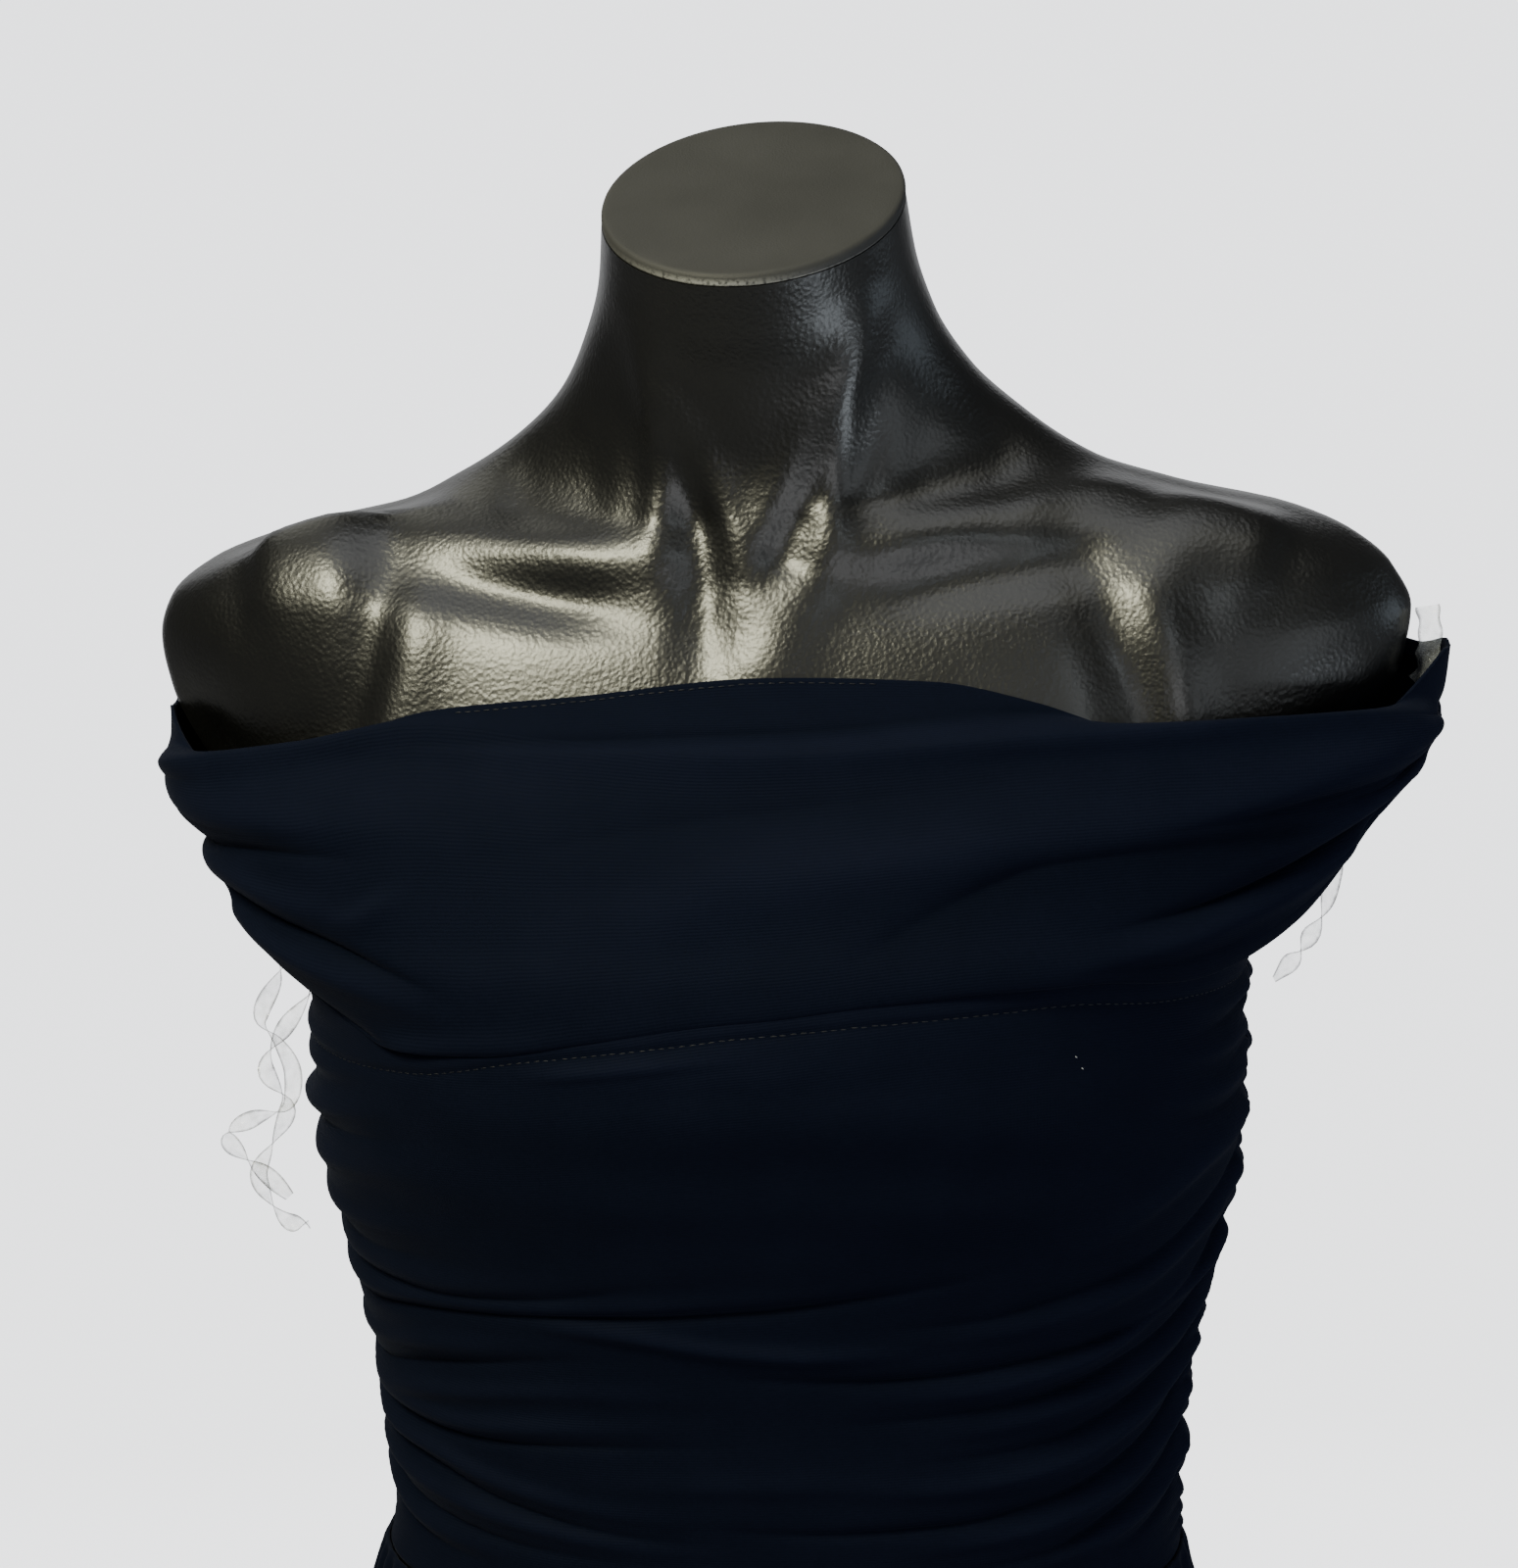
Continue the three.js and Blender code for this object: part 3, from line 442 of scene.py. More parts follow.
def puffs(at, pinches, fullness):
    """Puffs of cloth between the pinches of a gathered seam, each as full as it is long."""
    pinches = np.array(pinches, float)
    i = np.clip(np.searchsorted(pinches, at, side="right") - 1, 0, len(pinches) - 2)
    gap = pinches[i + 1] - pinches[i]
    t = np.clip((at - pinches[i]) / gap, 0, 1)
    lean = 0.5 + PUFF_LEAN * np.sin(2.4 * i + 0.7)
    bent = np.where(t < lean, t / lean / 2, 0.5 + (t - lean) / (1 - lean) / 2)
    return fullness * gap * np.sin(np.pi * bent) ** PUFF_ROUNDNESS, gap


def ripples(u, v, seed):
    """Slow, uneven swelling of cloth, between about -1 and 1, from a few waves at odd angles."""
    draw = np.random.default_rng(seed)
    total = np.zeros_like(u)
    waves = 7
    for _ in range(waves):
        across, up, phase = draw.uniform(0.6, 2.4), draw.uniform(1.2, 4.2), draw.uniform(0, 2 * np.pi)
        total += np.sin(2 * np.pi * (across * u + up * v) + phase)
    return total / 4


# Meshes

def alone():
    """Nothing is selected and no object is being edited."""
    if bpy.context.object and bpy.context.object.mode != "OBJECT":
        bpy.ops.object.mode_set(mode="OBJECT")
    bpy.ops.object.select_all(action="DESELECT")


def activate(piece):
    alone()
    piece.select_set(True)
    bpy.context.view_layer.objects.active = piece


def vertex_places(mesh):
    places = np.zeros(len(mesh.vertices) * 3)
    mesh.vertices.foreach_get("co", places)
    return places.reshape(-1, 3)


def move_vertices(mesh, places):
    mesh.vertices.foreach_set("co", np.ascontiguousarray(places, dtype=np.float32).ravel())
    mesh.update()


def grid(name, columns, rows):
    """A flat grid, and the share of the way along and up it of each vertex."""
    alone()
    bpy.ops.mesh.primitive_grid_add(x_subdivisions=columns, y_subdivisions=rows, size=1)
    made = bpy.context.object
    made.name = made.data.name = name
    flat = vertex_places(made.data)
    return made, flat[:, 0] + 0.5, flat[:, 1] + 0.5


def lay_uv(piece, u, v):
    """Writes each vertex's place on the flat cut, in metres, as the piece's UV map."""
    mesh = piece.data
    layer = mesh.uv_layers.active or mesh.uv_layers.new(name="Cut")
    layer.name = "Cut"
    corner = np.zeros(len(mesh.loops), dtype=np.int32)
    mesh.loops.foreach_get("vertex_index", corner)
    layer.data.foreach_set("uv", np.stack([u[corner], v[corner]], axis=-1).astype(np.float32).ravel())


def mark(piece, name, values):
    """Writes a number for each vertex, which a material reads by its name."""
    attribute = piece.data.attributes.new(name, "FLOAT", "POINT")
    attribute.data.foreach_set("value", values.astype(np.float32))


def apply_modifier(piece, kind, **settings):
    activate(piece)
    modifier = piece.modifiers.new(kind.title(), kind)
    for name, value in settings.items():
        setattr(modifier, name, value)
    bpy.ops.object.modifier_apply(modifier=modifier.name)


def edit(piece, *operations):
    """Runs edit-mode operators on the whole piece."""
    activate(piece)
    bpy.ops.object.mode_set(mode="EDIT")
    bpy.ops.mesh.select_all(action="SELECT")
    for operation in operations:
        operation()
    bpy.ops.object.mode_set(mode="OBJECT")


def shade(piece, angle=None):
    """Smooth shading, with edges sharper than an angle left hard."""
    activate(piece)
    if angle is None:
        bpy.ops.object.shade_smooth()
    else:
        bpy.ops.object.shade_smooth_by_angle(angle=math.radians(angle))


def finish_piece(piece, material, slot, *nodes):
    """Gives a piece its material, and makes it ride on the body and stand for its solids."""
    piece.data.materials.clear()
    piece.data.materials.append(material)
    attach(piece, BODY)
    if nodes:
        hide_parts(*nodes)


# Materials

def new_group(name, inputs, outputs):
    group = bpy.data.node_groups.new(name, "ShaderNodeTree")
    for label, kind, default in inputs:
        socket = group.interface.new_socket(name=label, in_out="INPUT", socket_type=kind)
        socket.default_value = default
    for label, kind in outputs:
        group.interface.new_socket(name=label, in_out="OUTPUT", socket_type=kind)
    return group, Wiring(group)


class Wiring:
    """Adds nodes to a tree. An input is a value or another node's output."""

    def __init__(self, tree):
        self.tree = tree

    def add(self, kind, inputs=(), **settings):
        node = self.tree.nodes.new(kind)
        for name, value in settings.items():
            setattr(node, name, value)
        for name, value in dict(inputs).items():
            if isinstance(value, bpy.types.NodeSocket):
                self.tree.links.new(value, node.inputs[name])
            else:
                node.inputs[name].default_value = value
        return node

    def maths(self, operation, *values):
        return self.add("ShaderNodeMath", dict(enumerate(values)), operation=operation).outputs[0]

    def weigh(self, *terms):
        """The sum of outputs, each times its weight."""
        total = None
        for value, weight in terms:
            part = self.maths("MULTIPLY", value, weight)
            total = part if total is None else self.maths("ADD", total, part)
        return total

    def cycles(self, value, length):
        """A wave between -1 and 1 that repeats over a length."""
        return self.maths("SINE", self.maths("MULTIPLY", self.maths("DIVIDE", value, length), 2 * math.pi))

    def noise(self, coordinates, scale, detail=2.0, roughness=0.5):
        inputs = {"Vector": coordinates, "Scale": scale, "Detail": detail, "Roughness": roughness}
        return self.add("ShaderNodeTexNoise", inputs).outputs["Fac"]

    def remap(self, value, low, high, to_low=0.0, to_high=1.0):
        inputs = {"Value": value, "From Min": low, "From Max": high, "To Min": to_low, "To Max": to_high}
        return self.add("ShaderNodeMapRange", inputs).outputs["Result"]

    def blend(self, share, first, second):
        node = self.add("ShaderNodeMix", data_type="RGBA")
        for index, value in ((0, share), (6, first), (7, second)):
            if isinstance(value, bpy.types.NodeSocket):
                self.tree.links.new(value, node.inputs[index])
            else:
                node.inputs[index].default_value = value
        return node.outputs[2]


def jersey_group():
    """Fine ribs and needle loops of a knitted mesh, with the slow unevenness of cloth that has seen wear. Its
    colour holds painted light: lighter on ribs and fold crests, darker between ribs and in fold troughs.
    """
    group, w = new_group(
        "Mesh jersey",
        [
            ("Rib Spacing", "NodeSocketFloat", 0.0013),
            ("Loop Spacing", "NodeSocketFloat", 0.0011),
            ("Thread", "NodeSocketColor", (0.01, 0.015, 0.04, 1)),
            ("Lit Thread", "NodeSocketColor", (0.02, 0.03, 0.07, 1)),
        ],
        [("Color", "NodeSocketColor"), ("Height", "NodeSocketFloat"), ("Roughness", "NodeSocketFloat")],
    )
    given = w.add("NodeGroupInput")
    cut = w.add("ShaderNodeUVMap", uv_map="Cut").outputs["UV"]
    place = w.add("ShaderNodeTexCoord").outputs["Object"]
    parts = w.add("ShaderNodeSeparateXYZ", {"Vector": cut})
    slow = w.noise(place, 55.0, 3.0)
    waver = w.maths("MULTIPLY", w.maths("SUBTRACT", slow, 0.5), 0.0012)
    rib = w.cycles(w.maths("ADD", parts.outputs["Y"], waver), given.outputs["Rib Spacing"])
    loop = w.cycles(parts.outputs["X"], given.outputs["Loop Spacing"])
    fuzz = w.noise(place, 900.0, 2.0)
    height = w.weigh((rib, 0.4), (loop, 0.1), (fuzz, 0.5))
    # painted shade and painted highlight: the crease mark darkens fold troughs and lightens fold crests, and the
    # ribs paint their own lit and shaded stripes; the slow noise and the fuzz are random tone
    crease = w.add("ShaderNodeAttribute", attribute_name="crease").outputs["Fac"]
    lit = w.weigh((rib, 0.07), (slow, 0.35), (crease, 0.42), (w.maths("SUBTRACT", fuzz, 0.5), 0.5))
    share = w.remap(lit, -0.3, 0.8)
    color = w.blend(share, given.outputs["Thread"], given.outputs["Lit Thread"])
    roughness = w.remap(fuzz, 0.3, 0.7, 0.62, 0.78)
    w.add("NodeGroupOutput", {"Color": color, "Height": height, "Roughness": roughness})
    return group


def grain_group():
    """The fine pebbled skin of moulded plastic, with faint smears in its gloss."""
    group, w = new_group(
        "Moulded grain",
        [
            ("Grain Size", "NodeSocketFloat", 0.0016),
            ("Base", "NodeSocketColor", (0.012, 0.012, 0.012, 1)),
            ("Gloss", "NodeSocketFloat", 0.36),
            ("Gloss Change", "NodeSocketFloat", 0.08),
            ("Wear And Glint", "NodeSocketColor", (0.4, 0.4, 0.38, 1)),
        ],
        [("Color", "NodeSocketColor"), ("Height", "NodeSocketFloat"), ("Roughness", "NodeSocketFloat")],
    )
    given = w.add("NodeGroupInput")
    place = w.add("ShaderNodeTexCoord").outputs["Object"]
    scale = w.maths("DIVIDE", 1.0, given.outputs["Grain Size"])
    cells = w.add(
        "ShaderNodeTexVoronoi",
        {"Vector": place, "Scale": scale, "Smoothness": 0.6, "Randomness": 1.0},
        feature="SMOOTH_F1",
    ).outputs["Distance"]
    pits = w.noise(place, w.maths("MULTIPLY", scale, 0.8), 3.0, 0.6)
    smears = w.noise(place, 24.0, 4.0, 0.6)
    height = w.weigh((cells, 0.6), (pits, 0.7))
    change = w.maths("MULTIPLY", w.maths("SUBTRACT", smears, 0.5), given.outputs["Gloss Change"])
    roughness = w.maths("ADD", given.outputs["Gloss"], w.maths("MULTIPLY", change, 2.0))
    tint = w.remap(smears, 0.3, 0.7, 0.85, 1.2)
    grey = w.add("ShaderNodeCombineXYZ", {"X": tint, "Y": tint, "Z": tint}).outputs[0]
    mixed = {"Fac": 1.0, "Color1": given.outputs["Base"], "Color2": grey}
    dusty = w.add("ShaderNodeMixRGB", mixed, blend_type="MULTIPLY")
    # paler speckles on the cap's rim: chipped wear, and a painted highlight along its top edge
    chips = w.remap(w.noise(place, 700.0, 2.0), 0.3, 0.5)
    wear_and_glint = w.maths("MULTIPLY", w.add("ShaderNodeAttribute", attribute_name="wear_and_glint").outputs["Fac"], chips)
    color = w.blend(wear_and_glint, dusty.outputs["Color"], given.outputs["Wear And Glint"])
    w.add("NodeGroupOutput", {"Color": color, "Height": height, "Roughness": roughness})
    return group


GROUPS = {}  # each group by its name, once it is made


def shared_group(name, maker):
    if name not in GROUPS:
        GROUPS[name] = maker()
    return GROUPS[name]


def new_material(name):
    material = bpy.data.materials.new(name)
    material.use_nodes = True
    material.node_tree.nodes.clear()
    return material, Wiring(material.node_tree)


def surface(w, inputs, height=None, strength=0.0, distance=0.0):
    """Ends a material with a Principled surface, raised by a height if there is one."""
    if height is not None:
        bump = w.add("ShaderNodeBump", {"Height": height, "Strength": strength, "Distance": distance})
        inputs = {**inputs, "Normal": bump.outputs["Normal"]}
    principled = w.add("ShaderNodeBsdfPrincipled", inputs)
    w.add("ShaderNodeOutputMaterial", {"Surface": principled.outputs["BSDF"]})


def surface_from(w, group, values, strength, distance, shader):
    """A surface fed by a group's colour, roughness and height."""
    given = w.add("ShaderNodeGroup", values, node_tree=group).outputs
    inputs = {"Base Color": given["Color"], "Roughness": given["Roughness"], **shader}
    surface(w, inputs, given["Height"], strength, distance)


def rgba(color, factor=1.0):
    return (color[0] * factor, color[1] * factor, color[2] * factor, 1)


def cloth_material():
    if "Navy mesh jersey" in bpy.data.materials:
        return bpy.data.materials["Navy mesh jersey"]
    colours, sizes = bpy.context.scene.dress_colours, bpy.context.scene.dress_sizes
    material, w = new_material("Navy mesh jersey")
    values = {
        "Rib Spacing": sizes.rib_spacing,
        "Loop Spacing": sizes.loop_spacing,
        "Thread": rgba(colours.cloth),
        "Lit Thread": rgba(colours.cloth_lit),
    }
    shader = {
        "Sheen Weight": 0.04,
        "Sheen Roughness": 0.45,
        "Sheen Tint": (0.5, 0.55, 0.8, 1),
        "Specular IOR Level": 0.04,
        "Specular Tint": (0.7, 0.8, 1, 1),
    }
    surface_from(w, shared_group("jersey", jersey_group), values, 0.22, 0.0003, shader)
    return material


def moulded_material(name, base, grain, gloss, change, strength, shader=()):
    material, w = new_material(name)
    values = {"Grain Size": grain, "Base": rgba(base), "Gloss": gloss, "Gloss Change": change}
    surface_from(w, shared_group("grain", grain_group), values, strength, 0.0005, dict(shader))
    return material


def thread_material(name, color):
    material, w = new_material(name)
    twist = w.noise(w.add("ShaderNodeTexCoord").outputs["Object"], 2600.0, 2.0)
    shaded = w.blend(w.remap(twist, 0.35, 0.65), rgba(color, 0.7), rgba(color, 1.3))
    surface(w, {"Base Color": shaded, "Roughness": 0.55}, twist, 0.3, 0.0001)
    return material


def clear_tape_material():
    if "Clear elastic tape" in bpy.data.materials:
        return bpy.data.materials["Clear elastic tape"]
    material, w = new_material("Clear elastic tape")
    place = w.add("ShaderNodeTexCoord").outputs["Object"]
    haze = w.noise(place, 300.0, 3.0)
    rim = w.add("ShaderNodeAttribute", attribute_name="edge").outputs["Fac"]
    rim = w.remap(w.maths("ADD", rim, w.maths("MULTIPLY", haze, 0.3)), 0.85, 1.15)
    color = w.blend(rim, rgba(bpy.context.scene.dress_colours.tape), (0.2, 0.21, 0.2, 1))
    inputs = {
        "Base Color": color,
        "Roughness": w.remap(haze, 0.3, 0.7, 0.06, 0.2),
        "Alpha": w.maths("ADD", w.remap(haze, 0.35, 0.75, 0.10, 0.26), w.maths("MULTIPLY", rim, 0.45)),
        "IOR": 1.5,
    }
    surface(w, inputs, haze, 0.5, 0.0008)
    return material


# Sizes and colours that a user would change

def colour_property(name, description, default):
    return bpy.props.FloatVectorProperty(
        name=name, description=description, default=default, size=3, subtype="COLOR", min=0, max=1
    )


def length_property(name, description, default):
    return bpy.props.FloatProperty(
        name=name, description=description, default=default, unit="LENGTH", min=0, precision=5
    )


class DressSizes(bpy.types.PropertyGroup):
    """Sizes of the cloth and its trimmings."""

    cloth_thickness: length_property("Cloth thickness", "Thickness of the dress cloth", WALL * MM)
    rib_spacing: length_property("Rib spacing", "Distance between the fine ribs of the knit", 0.0013)
    loop_spacing: length_property("Loop spacing", "Distance between needle loops along a rib", 0.0011)
    stitch_length: length_property("Stitch length", "Length of one visible stitch", 0.0021)
    stitch_pitch: length_property("Stitch pitch", "Distance from one stitch to the next", 0.0031)
    thread_width: length_property("Thread width", "Thickness of the sewing thread", 0.00042)
    tape_width: length_property("Tape width", "Width of the clear hanging tape", 0.006)
    tape_thickness: length_property("Tape thickness", "Thickness of the clear hanging tape", 0.00025)


class DressColours(bpy.types.PropertyGroup):
    """Colours of the dress, its form and the stage."""

    cloth: colour_property("Cloth", "Thread of the dress in the shade of a rib", (0.0025, 0.0040, 0.0102))
    cloth_lit: colour_property("Cloth, lit", "Thread of the dress on a rib", (0.0074, 0.0100, 0.0240))
    thread: colour_property("Sewing thread", "Thread of the seams and hems", (0.0042, 0.0055, 0.0125))
    form: colour_property("Form", "Moulded dress form", (0.0035, 0.0035, 0.0032))
    cap: colour_property("Neck cap", "Plate on the neck", (0.043, 0.043, 0.042))
    steel: colour_property("Steel", "Pole and base", (0.5, 0.5, 0.51))
    tape: colour_property("Tape", "Clear hanging tape", (0.8, 0.83, 0.84))
    floor: colour_property("Floor", "Floor round the stand", (0.785, 0.795, 0.82))


# Shapes

SHOULDER_HALF_WIDTH = 190
SEAM_TURN = SEAM_GAP / SHOULDER_HALF_WIDTH  # how far short of a side seam a panel stops, in radians
SIDE_EASE = 0.35  # how much closer together the columns of a panel are near its side seams
CREASE_DEPTH = 3  # depth at which a crease's painted shade, or a crest's painted highlight, is full

BAND_LENGTH = 480
BAND_ROLL_SHARE = 0.72  # share of the band's rows that climb to the roll
TURN_EASE = 1.4  # above 1, the rows past the roll are closer together near it
TUCK_PACE = 1.6  # how soon the cloth past the roll is tucked in
END_ROUND = 3  # how much the top edge is rounded off at a shoulder seam, and how far from it
END_ROUND_REACH = 7
BAND_FULLNESS = 24
TURNED_SHARE = 0.14  # share of the band's pinches that are past the roll
BAND_CALM = 16  # distance from a side seam within which folds fade

BODICE_LENGTH = 400
BODICE_EASE = 0.4
BODICE_FULLNESS = 0.34
BODICE_CALM = 9
WAIST_HOLD = 0.04  # shares of the bodice's height that the waist and bust seams hold smooth
BUST_HOLD = 0.07

DRAPE = 1.3  # above 1, the skirt's rows are closer together near the waist
FLUTES = 7
WAIST_GATHERS = 31
WAIST_GATHER_DEPTH = 0.9
WAIST_GATHER_REACH = 26


def side_share(share, turn):
    """How near each place is to the left side of the whole dress, from 1 to 0."""
    return 1 - share if turn == FRONT else share


def panel_angle(share, turn):
    """The angle from +X, in radians, of each place along a panel."""
    return math.radians(turn) + mix(SEAM_TURN, math.pi - SEAM_TURN, share)


def gathers(share, turn, at, left_pinches, right_pinches, fullness):
    """Puffs at the nearer side seam, and the gaps between its pinches."""
    near_left = side_share(share, turn) > 0.5
    left, left_gap = puffs(at, left_pinches, fullness)
    right, right_gap = puffs(at, right_pinches, fullness)
    return np.where(near_left, left, right), np.where(near_left, left_gap, right_gap)


def band_points(share, up, edges, folds, turn):
    """The band climbs on the outside to its roll and turns back over it."""
    angle = 180 * share
    roll, tuck = read(edges, "roll", angle), read(edges, "tuck", angle)
    bottom, top = read(edges, "bottom", angle), read(edges, "top", angle)
    from_seam = np.minimum(share, 1 - share) * BAND_LENGTH
    top = top - END_ROUND * bell(from_seam, END_ROUND_REACH)
    climbed = np.clip(up / BAND_ROLL_SHARE, 0, 1)
    over = np.clip((up - BAND_ROLL_SHARE) / (1 - BAND_ROLL_SHARE), 0, 1)
    bulge = 0.8 * tuck * np.sin(np.pi * over) * (1 - over)
    level = np.where(over > 0, mix(roll, top, over**TURN_EASE) + bulge, mix(bottom, roll, climbed))
    along = (1 - TURNED_SHARE) * climbed + TURNED_SHARE * over
    puff, gap = gathers(share, turn, along, BAND_LEFT_PINCHES, BAND_RIGHT_PINCHES, BAND_FULLNESS)
    gathered = puff * np.exp(-from_seam / (12 + 130 * gap))
    creases = fold_rise(folds, angle, level) * smooth(from_seam / BAND_CALM)
    lip = 0.7 * tuck * bell(level - roll, 6)
    swell = 0.5 * ripples(share, climbed, 5 + turn) * smooth(climbed / 0.2) * smooth(from_seam / 60)
    # between its shoulder ends, the bust seam draws the bottom edge in
    seam_pull = 1.3 * np.exp(-(level - bottom) / 2.2) * smooth((angle - 46) / 14) * smooth((150 - angle) / 14)
    outward = (gathered + creases + lip + swell) * (1 - over) - tuck * smooth(over * TUCK_PACE) - seam_pull
    points = section_points(BAND, panel_angle(share, turn), level, outward)
    # the second value is marked on the cloth as painted shade in troughs and painted highlight on crests and puffs
    return points, creases + gathered


def bodice_points(share, up, edges, folds, turn):
    """The bodice is gathered into both side seams, and its folds sweep down to the waist."""
    angle = 180 * share
    level = mix(WAIST_SEAM + SEAM_GAP, read(edges, "bodice_top", angle), up)
    from_seam = np.minimum(share, 1 - share) * BODICE_LENGTH
    puff, gap = gathers(share, turn, level, LEFT_PINCHES, RIGHT_PINCHES, BODICE_FULLNESS)
    ends = smooth(up / WAIST_HOLD) * smooth((1 - up) / BUST_HOLD)
    gathered = puff * np.exp(-from_seam / (1.1 * gap + 3)) * ends
    creases = fold_rise(folds, angle, level) * ends * smooth(from_seam / BODICE_CALM)
    swell = 0.45 * ripples(share * 1.4, up * 2.2, 11 + turn) * ends * smooth(from_seam / 40)
    # the cloth steps out above its topstitching, which draws it in; the step is also marked for a painted
    # highlight, and the stitched ditch for painted shade
    stitched = np.array(TOPSTITCH_FRONT if turn == FRONT else TOPSTITCH_BACK)
    past = level - between(stitched[:, 0], stitched[:, 1], angle)
    seam = (0.5 * smooth(past / 1.6) - 0.45 * bell(past, 1.5)) * smooth(from_seam / 24)
    outward = CLEAR + WALL / 2 + BODICE_EASE + gathered + creases + swell + seam
    points = section_points(FORM, panel_angle(share, turn), level, outward)
    # the second value is marked as painted shade in troughs and painted highlight on crests, puffs and the step
    # over the topstitching
    return points, creases + gathered + 2 * seam


def skirt_points(share, up, turn):
    """The skirt hangs in soft upright flutes that wander and grow to the hem."""
    level = mix(HEM, WAIST_SEAM - SEAM_GAP / 2, 1 - (1 - up) ** DRAPE)
    wave = np.cos(2 * np.pi * (share * FLUTES + 0.25 * np.sin(share * FLUTES + math.radians(turn))))
    flute = read(SKIRT, "flute", level) * wave * smooth(np.minimum(share, 1 - share) * 2 * FLUTES)
    ruffle = np.sin(2 * np.pi * (share * WAIST_GATHERS + 0.5 * np.sin(share * 17)))
    waist = bell(level - WAIST_SEAM, WAIST_GATHER_REACH) * WAIST_GATHER_DEPTH * ruffle
    swell = 1.2 * ripples(share * 2, up * 0.6, 23 + turn) * smooth((1 - up) / 0.2)
    gathered = waist * smooth((1 - up) / 0.03)
    points = section_points(SKIRT, panel_angle(share, turn), level, flute + gathered + swell)
    # the second value is marked as painted shade and painted highlight on the flutes and the waist gathers
    return points, flute * 0.2 + gathered


def cloth_panel(name, columns, rows, flat, shape):
    """A wall of cloth on a fine grid, with its place on the flat cut as its UV map."""
    panel, share, up = grid(name, columns, rows)
    eased = mix(share, (1 - np.cos(np.pi * share)) / 2, SIDE_EASE)
    points, creases = shape(eased, up)
    move_vertices(panel.data, points * MM)
    lay_uv(panel, eased * flat[0], up * flat[1])
    # the crease mark paints shade into troughs and a highlight onto crests in the cloth's colour
    mark(panel, "crease", np.clip(creases / CREASE_DEPTH, -1, 1))
    apply_modifier(panel, "SOLIDIFY", thickness=bpy.context.scene.dress_sizes.cloth_thickness, offset=0)
    shade(panel)
    return panel


ROUTE_STEPS = 8  # points for each stretch of a route


def smooth_route(route):
    """Points on a smooth curve through a route."""
    route = np.array(route, float)
    padded = np.vstack([2 * route[0] - route[1], route, 2 * route[-1] - route[-2]])
    steps = np.sqrt(np.linalg.norm(np.diff(padded, axis=0), axis=1))
    knots = np.concatenate([[0], np.cumsum(steps)])
    points = []
    for i in range(1, len(padded) - 2):
        p0, p1, p2, p3 = padded[i - 1 : i + 3]
        t0, t1, t2, t3 = knots[i - 1 : i + 3]
        for k in range(ROUTE_STEPS):
            t = mix(t1, t2, k / ROUTE_STEPS)
            a1 = mix(p0, p1, (t - t0) / (t1 - t0))
            a2 = mix(p1, p2, (t - t1) / (t2 - t1))
            a3 = mix(p2, p3, (t - t2) / (t3 - t2))
            b1 = mix(a1, a2, (t - t0) / (t2 - t0))
            b2 = mix(a2, a3, (t - t1) / (t3 - t1))
            points.append(mix(b1, b2, (t - t1) / (t2 - t1)))
    points.append(route[-1])
    return np.array(points)


def ribbon(name, path, turns, width, thickness):
    """A flat tape along a path, twisted as it goes."""
    strip, along, across = grid(name, len(path) - 1, 8)
    index = np.rint(along * (len(path) - 1)).astype(int)
    tangent = np.gradient(path, axis=0)
    tangent /= np.linalg.norm(tangent, axis=1)[:, None]
    forwards = np.array([0.3, -1.0, 0.15])  # a direction that no tape runs along
    side = np.cross(tangent, forwards)
    side /= np.linalg.norm(side, axis=1)[:, None]
    other = np.cross(tangent, side)
    share = np.linspace(0, 1, len(path))
    spin = 2 * np.pi * (turns * share + 0.12 * np.sin(9 * share))
    facing = side * np.cos(spin)[:, None] + other * np.sin(spin)[:, None]
    places = path[index] + facing[index] * ((across - 0.5) * width / MM)[:, None]
    move_vertices(strip.data, places * MM)
    mark(strip, "edge", np.abs(across - 0.5) * 2)
    apply_modifier(strip, "SOLIDIFY", thickness=thickness, offset=0)
    shade(strip, 50)
    return strip


# Operators

class DRESS_OT_camera(bpy.types.Operator):
    """Stands the camera where the photo was taken from"""

    bl_idname = "dress.camera"
    bl_label = "Camera"

    def execute(self, context):
        azimuth, elevation, roll = (math.radians(a) for a in (7, 13, -1.2))
        distance, focal_pixels, image_height, sensor = 1.55, 4950, 1600, 36
        target = Vector((-1.5, -20, 1262)) * MM
        back = Vector((
            math.sin(azimuth) * math.cos(elevation),
            -math.cos(azimuth) * math.cos(elevation),
            math.sin(elevation),
        ))
        level_right = Vector((math.cos(azimuth), math.sin(azimuth), 0))
        level_up = level_right.cross(-back)
        right = level_right * math.cos(roll) + level_up * math.sin(roll)
        up = level_up * math.cos(roll) - level_right * math.sin(roll)
        lens = bpy.data.cameras.new("photo_camera")
        lens.sensor_fit, lens.sensor_width, lens.sensor_height = "VERTICAL", sensor, sensor
        lens.lens = focal_pixels * sensor / image_height
        lens.clip_start, lens.clip_end = 0.05, 100
        camera = bpy.data.objects.new("photo_camera", lens)
        context.scene.collection.objects.link(camera)
        matrix = Matrix((right, up, back)).transposed().to_4x4()
        matrix.translation = target + back * distance
        camera.matrix_world = matrix
        context.scene.camera = camera
        return {"FINISHED"}


